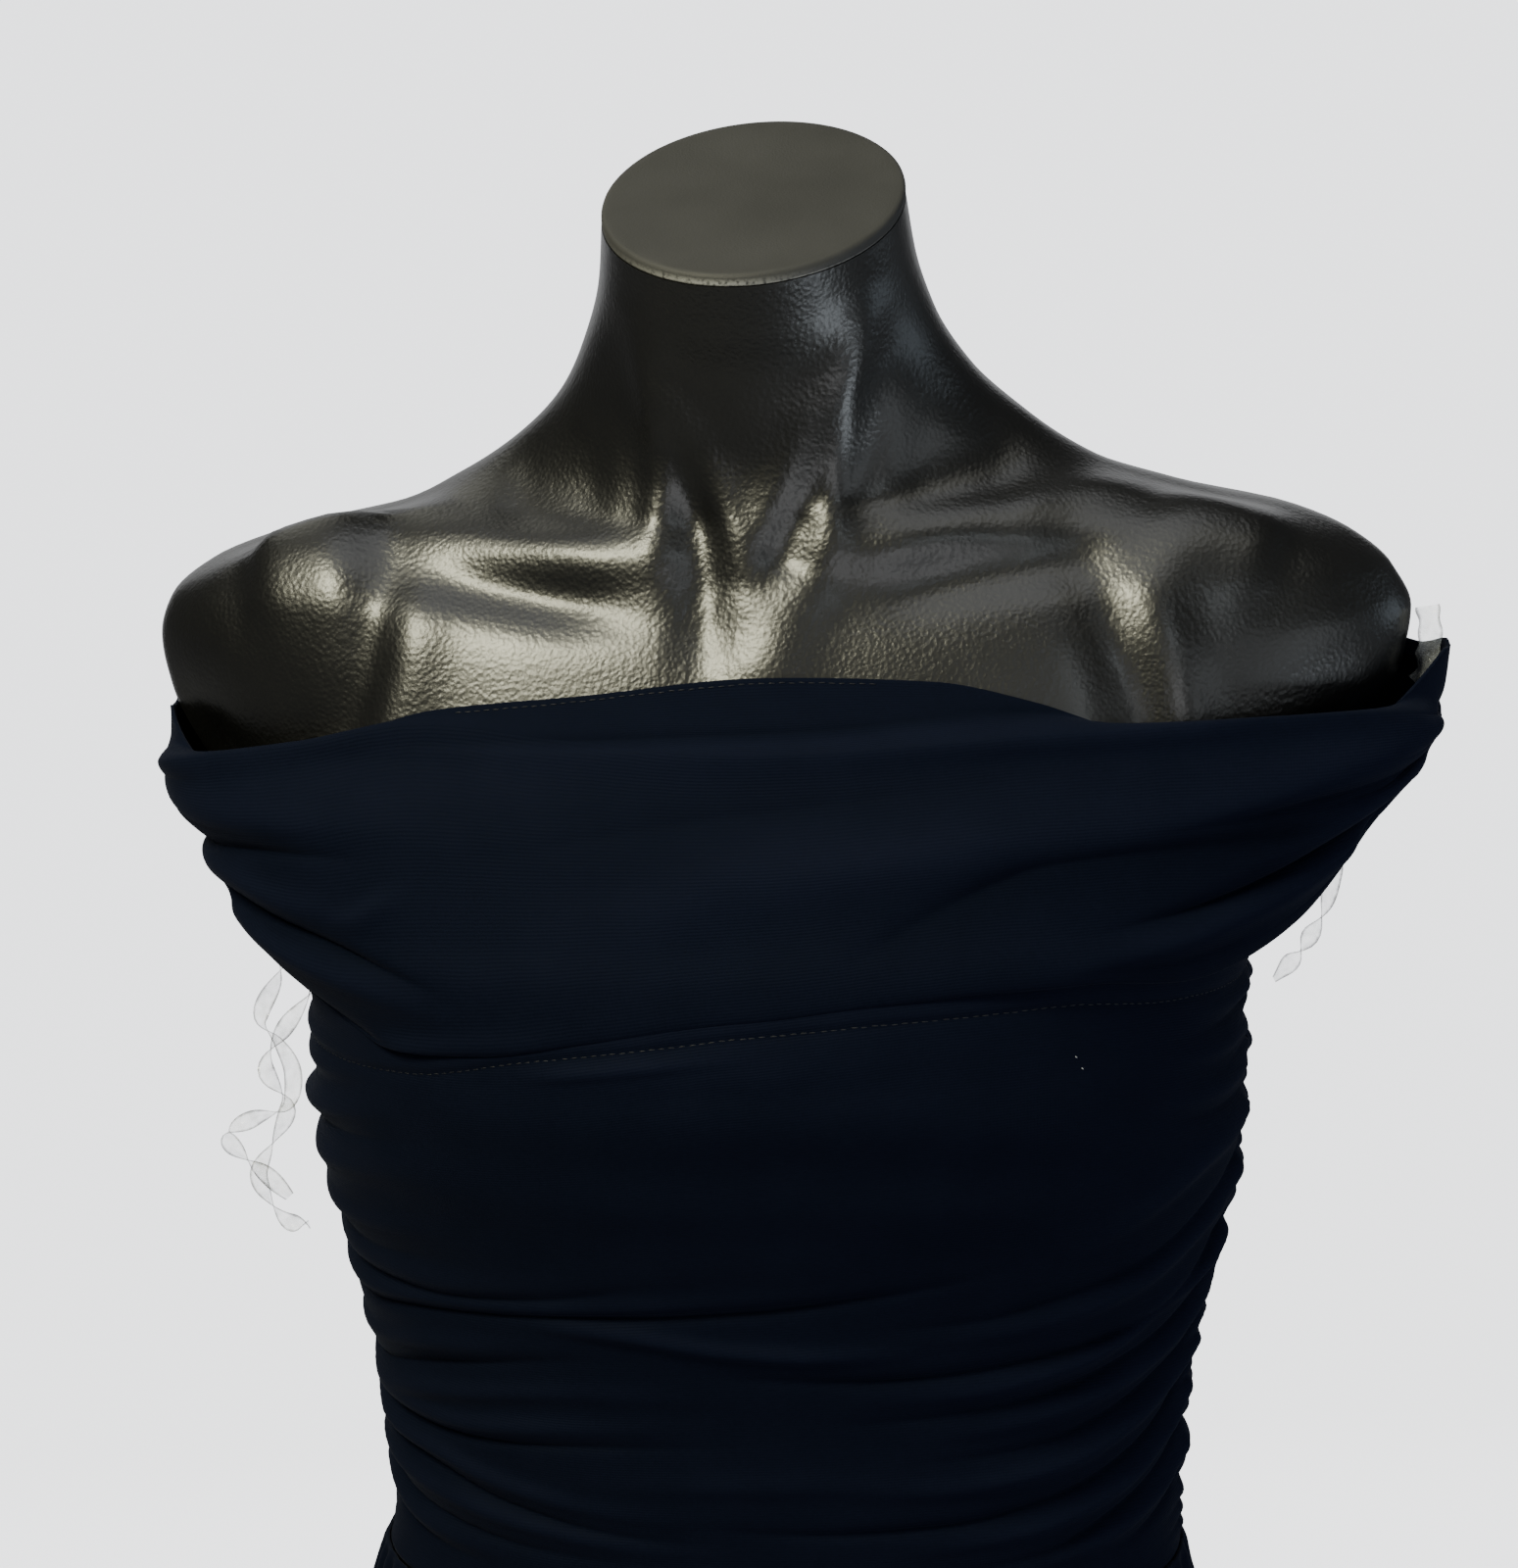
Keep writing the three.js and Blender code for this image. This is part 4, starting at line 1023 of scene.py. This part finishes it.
class DRESS_OT_tapes(bpy.types.Operator):
    """Hangs the clear elastic tapes from the underarm seams"""

    bl_idname = "dress.tapes"
    bl_label = "Hanging tapes"

    def execute(self, context):
        sizes = context.scene.dress_sizes
        clear = clear_tape_material()
        for name, route in TAPES.items():
            path = smooth_route(route)
            tape = ribbon(name + "_flat", path, TAPE_TURNS[name], sizes.tape_width, sizes.tape_thickness)
            finish_piece(tape, clear, "clear_tape", name)
        path = smooth_route(SHOULDER_TAPE)
        stub = ribbon("shoulder_tape_end", path, SHOULDER_TAPE_TURNS, SHOULDER_TAPE_WIDTH, sizes.tape_thickness)
        finish_piece(stub, clear, "clear_tape")
        return {"FINISHED"}


def gathered_pair(panels, shape):
    """The front and back panel of the band or the bodice."""
    for name, node, columns, rows, cut, flat, edges, folds, turn in panels:
        panel = cloth_panel(name, columns, rows, cut, lambda share, up: shape(share, up, edges, folds, turn))
        finish_piece(panel, cloth_material(), "dress_cloth", node)


class DRESS_OT_band(bpy.types.Operator):
    """Drapes the band round the chest, back and shoulder ends"""

    bl_idname = "dress.band"
    bl_label = "Band"

    def execute(self, context):
        gathered_pair(
            (
                ("band_front_cloth", "band_front", 290, 160, (0.48, 0.15), (0.5, 0.125),
                 FRONT_EDGES, BAND_FRONT_FOLDS, FRONT),
                ("band_back_cloth", "band_back", 220, 120, (0.46, 0.125), (0.48, 0.115),
                 BACK_EDGES, BAND_BACK_FOLDS, BACK),
            ),
            band_points,
        )
        return {"FINISHED"}


class DRESS_OT_bodice(bpy.types.Operator):
    """Gathers the bodice panels into the side seams"""

    bl_idname = "dress.bodice"
    bl_label = "Bodice"

    def execute(self, context):
        gathered_pair(
            (
                ("bodice_front_cloth", "bodice_front", 250, 190, (0.42, 0.33), (0.42, 0.26),
                 FRONT_EDGES, BODICE_FRONT_FOLDS, FRONT),
                ("bodice_back_cloth", "bodice_back", 210, 170, (0.40, 0.33), (0.40, 0.26),
                 BACK_EDGES, BODICE_BACK_FOLDS, BACK),
            ),
            bodice_points,
        )
        return {"FINISHED"}


class DRESS_OT_skirt(bpy.types.Operator):
    """Hangs the flared skirt from the waist seam"""

    bl_idname = "dress.skirt"
    bl_label = "Skirt"

    def execute(self, context):
        panels = (("skirt_front_cloth", "skirt_front", FRONT), ("skirt_back_cloth", "skirt_back", BACK))
        for name, node, turn in panels:
            panel = cloth_panel(name, 200, 110, (0.72, 0.5), lambda share, up: skirt_points(share, up, turn))
            finish_piece(panel, cloth_material(), "dress_cloth", node)
        return {"FINISHED"}


class DRESS_OT_form(bpy.types.Operator):
    """Moulds the dress form and lays the plate on its neck"""

    bl_idname = "dress.form"
    bl_label = "Dress form"

    def execute(self, context):
        colours = context.scene.dress_colours
        coat = {"Coat Weight": 0.2, "Coat Roughness": 0.2, "Specular IOR Level": 1.0}
        satin = moulded_material("Satin black plastic", colours.form, 0.0015, 0.36, 0.07, 0.42, coat)
        matt = moulded_material("Matt dark plastic", colours.cap, 0.0007, 0.62, 0.05, 0.2)
        finish_piece(form_mesh("form_moulded"), satin, "form_plastic", "form_body")
        finish_piece(cap_mesh("neck_plate"), matt, "cap_plastic", "neck_cap")
        return {"FINISHED"}


# Soft rises and hollows of the moulding: how far out, how wide, and the points (x, height) of each line.
RELIEF = (
    # collar bones, the hollows under and over them
    (3.4, 9.5, ((-22, 1343), (-48, 1341), (-62, 1342), (-88, 1344), (-138, 1349))),
    (-5.0, 9, ((-34, 1325), (-60, 1329), (-86, 1333), (-128, 1338))),
    (3.2, 9.5, ((18, 1346), (40, 1343), (56, 1347), (72, 1351), (99, 1353), (138, 1357))),
    (-4.0, 10, ((32, 1329), (60, 1335), (90, 1340), (128, 1346))),
    (-3.6, 15, ((-40, 1363), (-88, 1357))),
    (-3.4, 15, ((42, 1368), (90, 1363))),
    # cords of the throat, the crossing lines between them and the pit below
    (3.2, 6.2, ((-34, 1416), (-29, 1390), (-27, 1363), (-30, 1330))),
    (2.8, 6.2, ((39, 1422), (31, 1392), (27, 1363), (24, 1332))),
    (2.4, 6.5, ((-28, 1402), (-13, 1366), (4, 1330))),
    (2.2, 7.5, ((38, 1420), (21, 1384), (13, 1364), (-3, 1330))),
    (-4.2, 7.5, ((-19, 1372), (-14, 1334), (-13, 1302))),
    (-2.8, 7.5, ((16, 1358), (9, 1334))),
    (2.4, 10, ((20, 1342), (4, 1296))),
    # the fold between chest and arm on each side, and the arm's falling front
    (-3.4, 8, ((-124, 1356), (-121, 1330), (-122, 1306), (-134, 1264))),
    (2.4, 9, ((-103, 1330), (-108, 1302), (-122, 1262))),
    (-3.8, 9, ((100, 1346), (112, 1321), (119, 1305), (132, 1264))),
    (2.4, 8, ((118, 1340), (130, 1312), (143, 1272))),
    (-11, 30, ((-122, 1262), (-140, 1266), (-182, 1268), (-206, 1268))),
    (-7, 26, ((128, 1270), (150, 1272), (206, 1276))),
    (10, 20, ((-112, 1337), (-140, 1337), (-170, 1331))),
    (6, 18, ((118, 1347), (146, 1345), (170, 1336))),
)


END_RISE = 0.3  # share of its depth that a line keeps at its ends
END_FADE = 0.3  # share of its length over which it comes to its full depth
NECK_TOP = 1428  # height above which the neck is plain
FINE_FROM = 1180  # height above which the form's rows are close enough for the relief


def relief(places):
    """How far the moulding rises at points in millimetres, on its front only."""
    rise = np.zeros(len(places))
    flat = places[:, [0, 2]]
    for depth, width, line in RELIEF:
        nearest = np.full(len(places), np.inf)
        travelled = np.zeros(len(places))
        before = 0.0
        for start, end in zip(line[:-1], line[1:]):
            start, along = np.array(start, float), np.subtract(end, start).astype(float)
            stretch = np.linalg.norm(along)
            share = np.clip((flat - start) @ along / stretch**2, 0, 1)
            distance = np.linalg.norm(flat - start - share[:, None] * along, axis=1)
            travelled = np.where(distance < nearest, before + share * stretch, travelled)
            nearest = np.minimum(nearest, distance)
            before += stretch
        from_end = np.minimum(travelled, before - travelled)
        rise += depth * bell(nearest, width) * mix(END_RISE, 1, smooth(from_end / (END_FADE * before)))
    return rise


def tube(name, sides, levels, points):
    """A closed tube through rings, with a lid at each end."""
    made, share, up = grid(name, sides, len(levels) - 1)
    ring = np.rint(up * (len(levels) - 1)).astype(int)
    move_vertices(made.data, points(2 * np.pi * share, np.array(levels)[ring], ring) * MM)
    edit(made, lambda: bpy.ops.mesh.remove_doubles(threshold=1e-6))
    edit(
        made,
        lambda: bpy.ops.mesh.select_all(action="DESELECT"),
        lambda: bpy.ops.mesh.select_non_manifold(),
        lambda: bpy.ops.mesh.edge_face_add(),
    )
    edit(made, lambda: bpy.ops.mesh.normals_make_consistent(inside=False))
    return made


def tip(places, level):
    """How far the lean of the form's section at a level lifts points at its back, and lowers its front."""
    return read(FORM, "lean", level) * (places[:, 1] - read(FORM, "middle", level))


def form_mesh(name):
    lower = np.linspace(FORM_BOTTOM, FINE_FROM, 60)[:-1]
    levels = np.concatenate([lower, np.linspace(FINE_FROM, FORM["level"][-1], 150)])

    def points(angle, level, ring):
        placed = section_points(FORM, angle, level, 0)
        placed[:, 2] += tip(placed, level)
        return placed

    form = tube(name, 224, levels, points)
    places = vertex_places(form.data) / MM
    normals = np.array([v.normal for v in form.data.vertices])
    in_front = smooth((6 - places[:, 1]) / 22) * smooth((NECK_TOP - places[:, 2]) / 14)
    move_vertices(form.data, (places + normals * (relief(places) * in_front)[:, None]) * MM)
    shade(form, 60)
    return form


def cap_mesh(name):
    neck_level = FORM["level"][-1]
    # how far out each ring is from the neck's edge, and how high above it
    profile = np.array([
        (-0.6, SEAM_GAP), (-0.2, SEAM_GAP), (0, SEAM_GAP + 0.6), (0, NECK_CAP - 1.4), (-0.25, NECK_CAP - 0.6),
        (-0.8, NECK_CAP - 0.15), (-1.6, NECK_CAP), (-4, NECK_CAP), (-12, NECK_CAP), (-24, NECK_CAP),
    ])

    def points(angle, level, ring):
        placed = section_points(FORM, angle, level, profile[ring, 0])
        placed[:, 2] += tip(placed, level) + profile[ring, 1]
        return placed

    cap = tube(name, 128, [neck_level] * len(profile), points)
    places = vertex_places(cap.data) / MM
    above = places[:, 2] - neck_level - tip(places, neck_level)
    half_width, middle, reach = (FORM[column][-1] for column in ("half_width", "middle", "front"))
    outside = np.hypot(places[:, 0] / half_width, (places[:, 1] - middle) / reach) > 0.95
    # the plate's rim is painted paler along its top edge at the front: chipped wear, and a painted highlight
    mark(cap, "wear_and_glint", bell(above - 0.7, 0.5) * outside * smooth((-10 - places[:, 1]) / 25))
    shade(cap, 40)
    return cap


class DRESS_OT_stand(bpy.types.Operator):
    """Finishes the pole and base of the stand in brushed steel"""

    bl_idname = "dress.stand"
    bl_label = "Stand"

    def execute(self, context):
        colours = context.scene.dress_colours
        steel = moulded_material("Brushed steel", colours.steel, 0.0006, 0.3, 0.1, 0.08, {"Metallic": 1.0})
        for node in ("stand_pole", "stand_base"):
            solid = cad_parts[node]
            solid.data.materials.clear()
            solid.data.materials.append(steel)
        return {"FINISHED"}


def stitch_row(line, shape, outward):
    """Middles, directions and normals of the stitches along a row on a panel."""
    sizes = bpy.context.scene.dress_sizes
    line = np.array(line, float)
    angle = np.linspace(line[0, 0], line[-1, 0], 900)
    level = between(line[:, 0], line[:, 1], angle)
    on_cloth = shape(angle, level)
    above = shape(angle, level + 0.6)
    length = np.concatenate([[0], np.cumsum(np.linalg.norm(np.diff(on_cloth, axis=0), axis=1))])
    at = np.arange(0.5, length[-1] * MM / sizes.stitch_pitch - 0.5) * sizes.stitch_pitch / MM
    pick = np.searchsorted(length, at)
    along = np.gradient(on_cloth, axis=0)
    along /= np.linalg.norm(along, axis=1)[:, None]
    normal = np.cross(along, above - on_cloth)
    normal /= np.linalg.norm(normal, axis=1)[:, None]
    centre = on_cloth.mean(axis=0)
    normal *= np.sign(((on_cloth - centre) * normal).sum(axis=1))[:, None]
    middles = on_cloth + normal * outward
    return [(Vector(middles[i]), Vector(along[i]), Vector(normal[i])) for i in pick]


STITCH_DRIFT = 0.08  # how far stitches stray from their row, and how far they turn, in radians
STITCH_TURN = 0.05


def sew(name, places, material, length):
    """One stitch, copied to each place in a row, joined as one piece."""
    sizes = bpy.context.scene.dress_sizes
    draw = np.random.default_rng(7)
    alone()
    bpy.ops.mesh.primitive_uv_sphere_add(segments=6, ring_count=5, radius=0.5)
    stitch = bpy.context.object
    shape = (sizes.thread_width, sizes.thread_width * 0.8, length)
    edit(stitch, lambda: bpy.ops.transform.resize(value=shape))
    shade(stitch)
    copies = []
    for middle, along, normal in places:
        copy = stitch.copy()
        copy.data = stitch.data.copy()
        side = normal.cross(along)
        turned = Matrix((side, normal, along)).transposed().to_4x4()
        turned.translation = (middle + side * draw.normal(0, STITCH_DRIFT)) * MM
        copy.data.transform(turned @ Matrix.Rotation(draw.normal(0, STITCH_TURN), 4, "Y"))
        bpy.context.scene.collection.objects.link(copy)
        copies.append(copy)
    bpy.data.objects.remove(stitch)
    alone()
    for copy in copies:
        copy.select_set(True)
    row = copies[0]
    bpy.context.view_layer.objects.active = row
    bpy.ops.object.join()
    row.name = row.data.name = name
    finish_piece(row, material, "dress_cloth")


class DRESS_OT_stitching(bpy.types.Operator):
    """Sews the visible rows of stitches"""

    bl_idname = "dress.stitching"
    bl_label = "Stitching"

    def execute(self, context):
        thread = thread_material("Navy sewing thread", context.scene.dress_colours.thread)
        lint = thread_material("Pale lint", (0.5, 0.52, 0.56))
        proud = WALL / 2 + 0.1
        stitch = context.scene.dress_sizes.stitch_length

        def on_bodice(edges, folds, turn):
            def shape(angle, level):
                base = WAIST_SEAM + SEAM_GAP
                up = (level - base) / (read(edges, "bodice_top", angle) - base)
                return bodice_points(angle / 180, up, edges, folds, turn)[0]
            return shape

        def on_band(edges, folds, turn):
            def shape(angle, level):
                roll, top = read(edges, "roll", angle), read(edges, "top", angle)
                over = np.clip((level - roll) / (top - roll), 0, 1) ** (1 / TURN_EASE)
                up = BAND_ROLL_SHARE + over * (1 - BAND_ROLL_SHARE)
                return band_points(angle / 180, up, edges, folds, turn)[0]
            return shape

        def on_skirt(turn):
            def shape(angle, level):
                rise = (level - HEM) / (WAIST_SEAM - SEAM_GAP / 2 - HEM)
                return skirt_points(angle / 180, 1 - (1 - rise) ** (1 / DRAPE), turn)[0]
            return shape

        bodice_front = on_bodice(FRONT_EDGES, BODICE_FRONT_FOLDS, FRONT)
        rows = (
            ("topstitch_front", TOPSTITCH_FRONT, bodice_front),
            ("topstitch_back", TOPSTITCH_BACK, on_bodice(BACK_EDGES, BODICE_BACK_FOLDS, BACK)),
            ("neck_stitch_front", NECK_STITCH_FRONT, on_band(FRONT_EDGES, BAND_FRONT_FOLDS, FRONT)),
            ("neck_stitch_back", NECK_STITCH_BACK, on_band(BACK_EDGES, BAND_BACK_FOLDS, BACK)),
            ("hem_stitch_front", HEM_STITCH, on_skirt(FRONT)),
            ("hem_stitch_back", HEM_STITCH, on_skirt(BACK)),
        )
        for name, line, shape in rows:
            sew(name, stitch_row(line, shape, proud), thread, stitch)
        specks = [stitch_row((spot, (spot[0] + 2, spot[1] - 3)), bodice_front, proud)[0] for spot in PALE_SPECKS]
        sew("pale_specks", specks, lint, stitch * 0.4)
        return {"FINISHED"}


class DRESS_OT_stage(bpy.types.Operator):
    """Lays the floor and sets the studio lights"""

    bl_idname = "dress.stage"
    bl_label = "Stage"

    def execute(self, context):
        colours = context.scene.dress_colours
        alone()
        bpy.ops.mesh.primitive_circle_add(vertices=96, radius=30, fill_type="NGON")
        floor = context.object
        floor.name = "floor"
        material, w = new_material("Pale floor")
        place = w.add("ShaderNodeTexCoord").outputs["Object"]
        cloudy = w.noise(place, 1.3, 3.0)
        color = w.blend(w.remap(cloudy, 0.3, 0.7, 0.0, 1.0), rgba(colours.floor), rgba(colours.floor, 1.05))
        seen = w.add("ShaderNodeLightPath").outputs["Is Camera Ray"]
        color = w.blend(seen, rgba(colours.floor, 0.25), color)
        glow = w.blend(seen, rgba(colours.floor, 0.022), rgba(colours.floor))
        surface(w, {"Base Color": color, "Roughness": 0.9, "Emission Color": glow, "Emission Strength": 3.0})
        floor.data.materials.append(material)

        world = bpy.data.worlds.new("studio")
        world.use_nodes = True
        w = Wiring(world.node_tree)
        seen = w.add("ShaderNodeLightPath").outputs["Is Camera Ray"]
        background = world.node_tree.nodes["Background"]
        background.inputs["Color"].default_value = (0.95, 0.97, 1.0, 1)
        world.node_tree.links.new(w.remap(seen, 0, 1, 0.05, 2.4), background.inputs["Strength"])
        context.scene.world = world

        target = Vector((0, 0, 1.28))
        lights = (
            # name, turn from the front to the right, height, distance, size, power, colour
            ("key_light", -39, 43, 2.2, 0.75, 47, (1, 0.97, 0.70)),
            ("ceiling_light", 0, 84, 2.0, 1.6, 7, (0.96, 0.98, 1)),
            ("left_collar_light", -70, 56, 2.0, 0.6, 1.8, (1, 0.98, 0.8)),
            ("back_left_light", -139, 42, 2.2, 0.9, 2.0, (1, 0.99, 0.85)),
            ("front_fill_light", 20, 2, 2.4, 1.2, 6.5, (0.97, 0.98, 1)),
            ("front_right_light", 34, 30, 2.0, 0.35, 1.2, (0.88, 0.96, 1)),
            ("low_right_light", 63, 7, 2.2, 0.8, 1.8, (0.9, 0.96, 1)),
            ("floor_bounce_light", 62, -30, 2.1, 1.0, 10, (0.85, 0.93, 1)),
            ("right_light", 69, 62, 2.0, 0.6, 1.1, (1, 0.99, 0.85)),
            ("right_side_light", 112, 6, 2.4, 1.0, 2.4, (0.75, 0.88, 1)),
            ("back_fill_light", 190, 6, 2.6, 2.6, 14, (0.97, 0.98, 1)),
        )
        for name, turn, height, distance, size, power, color in lights:
            lamp = bpy.data.lights.new(name, "AREA")
            lamp.shape, lamp.size, lamp.energy, lamp.color = "SQUARE", size, power, color
            light = bpy.data.objects.new(name, lamp)
            turn, height = math.radians(turn), math.radians(height)
            away = Vector((math.sin(turn) * math.cos(height), -math.cos(turn) * math.cos(height), math.sin(height)))
            light.location = target + away * distance
            light.rotation_euler = away.to_track_quat("Z", "Y").to_euler()
            light.visible_camera = False
            context.scene.collection.objects.link(light)
        lamp = bpy.data.lights.new("room_light", "SUN")
        lamp.energy, lamp.angle, lamp.color = 0.12, math.radians(70), (0.97, 0.98, 1)
        light = bpy.data.objects.new("room_light", lamp)
        light.rotation_euler = Vector((-0.35, -0.3, 0.9)).to_track_quat("Z", "Y").to_euler()
        context.scene.collection.objects.link(light)
        return {"FINISHED"}


OPERATORS = (
    DRESS_OT_camera,
    DRESS_OT_tapes,
    DRESS_OT_form,
    DRESS_OT_stand,
    DRESS_OT_band,
    DRESS_OT_bodice,
    DRESS_OT_skirt,
    DRESS_OT_stitching,
    DRESS_OT_stage,
)


class DRESS_PT_panel(bpy.types.Panel):
    """The dress, piece by piece"""

    bl_idname = "DRESS_PT_panel"
    bl_label = "Dress"
    bl_space_type = "VIEW_3D"
    bl_region_type = "UI"
    bl_category = "Dress"

    def draw(self, context):
        for operator in OPERATORS:
            self.layout.operator(operator.bl_idname)
        for group in (context.scene.dress_sizes, context.scene.dress_colours):
            for name in group.__annotations__:
                self.layout.prop(group, name)


CLASSES = (DressSizes, DressColours, *OPERATORS, DRESS_PT_panel)


def register():
    for item in CLASSES:
        bpy.utils.register_class(item)
    bpy.types.Scene.dress_sizes = bpy.props.PointerProperty(type=DressSizes)
    bpy.types.Scene.dress_colours = bpy.props.PointerProperty(type=DressColours)


def unregister():
    del bpy.types.Scene.dress_colours
    del bpy.types.Scene.dress_sizes
    for item in reversed(CLASSES):
        bpy.utils.unregister_class(item)


def main():
    register()
    bpy.ops.dress.camera()
    bpy.ops.dress.tapes()
    bpy.ops.dress.form()
    bpy.ops.dress.stand()
    bpy.ops.dress.band()
    bpy.ops.dress.bodice()
    bpy.ops.dress.skirt()
    bpy.ops.dress.stitching()
    bpy.ops.dress.stage()


if __name__ == "__main__":
    main()
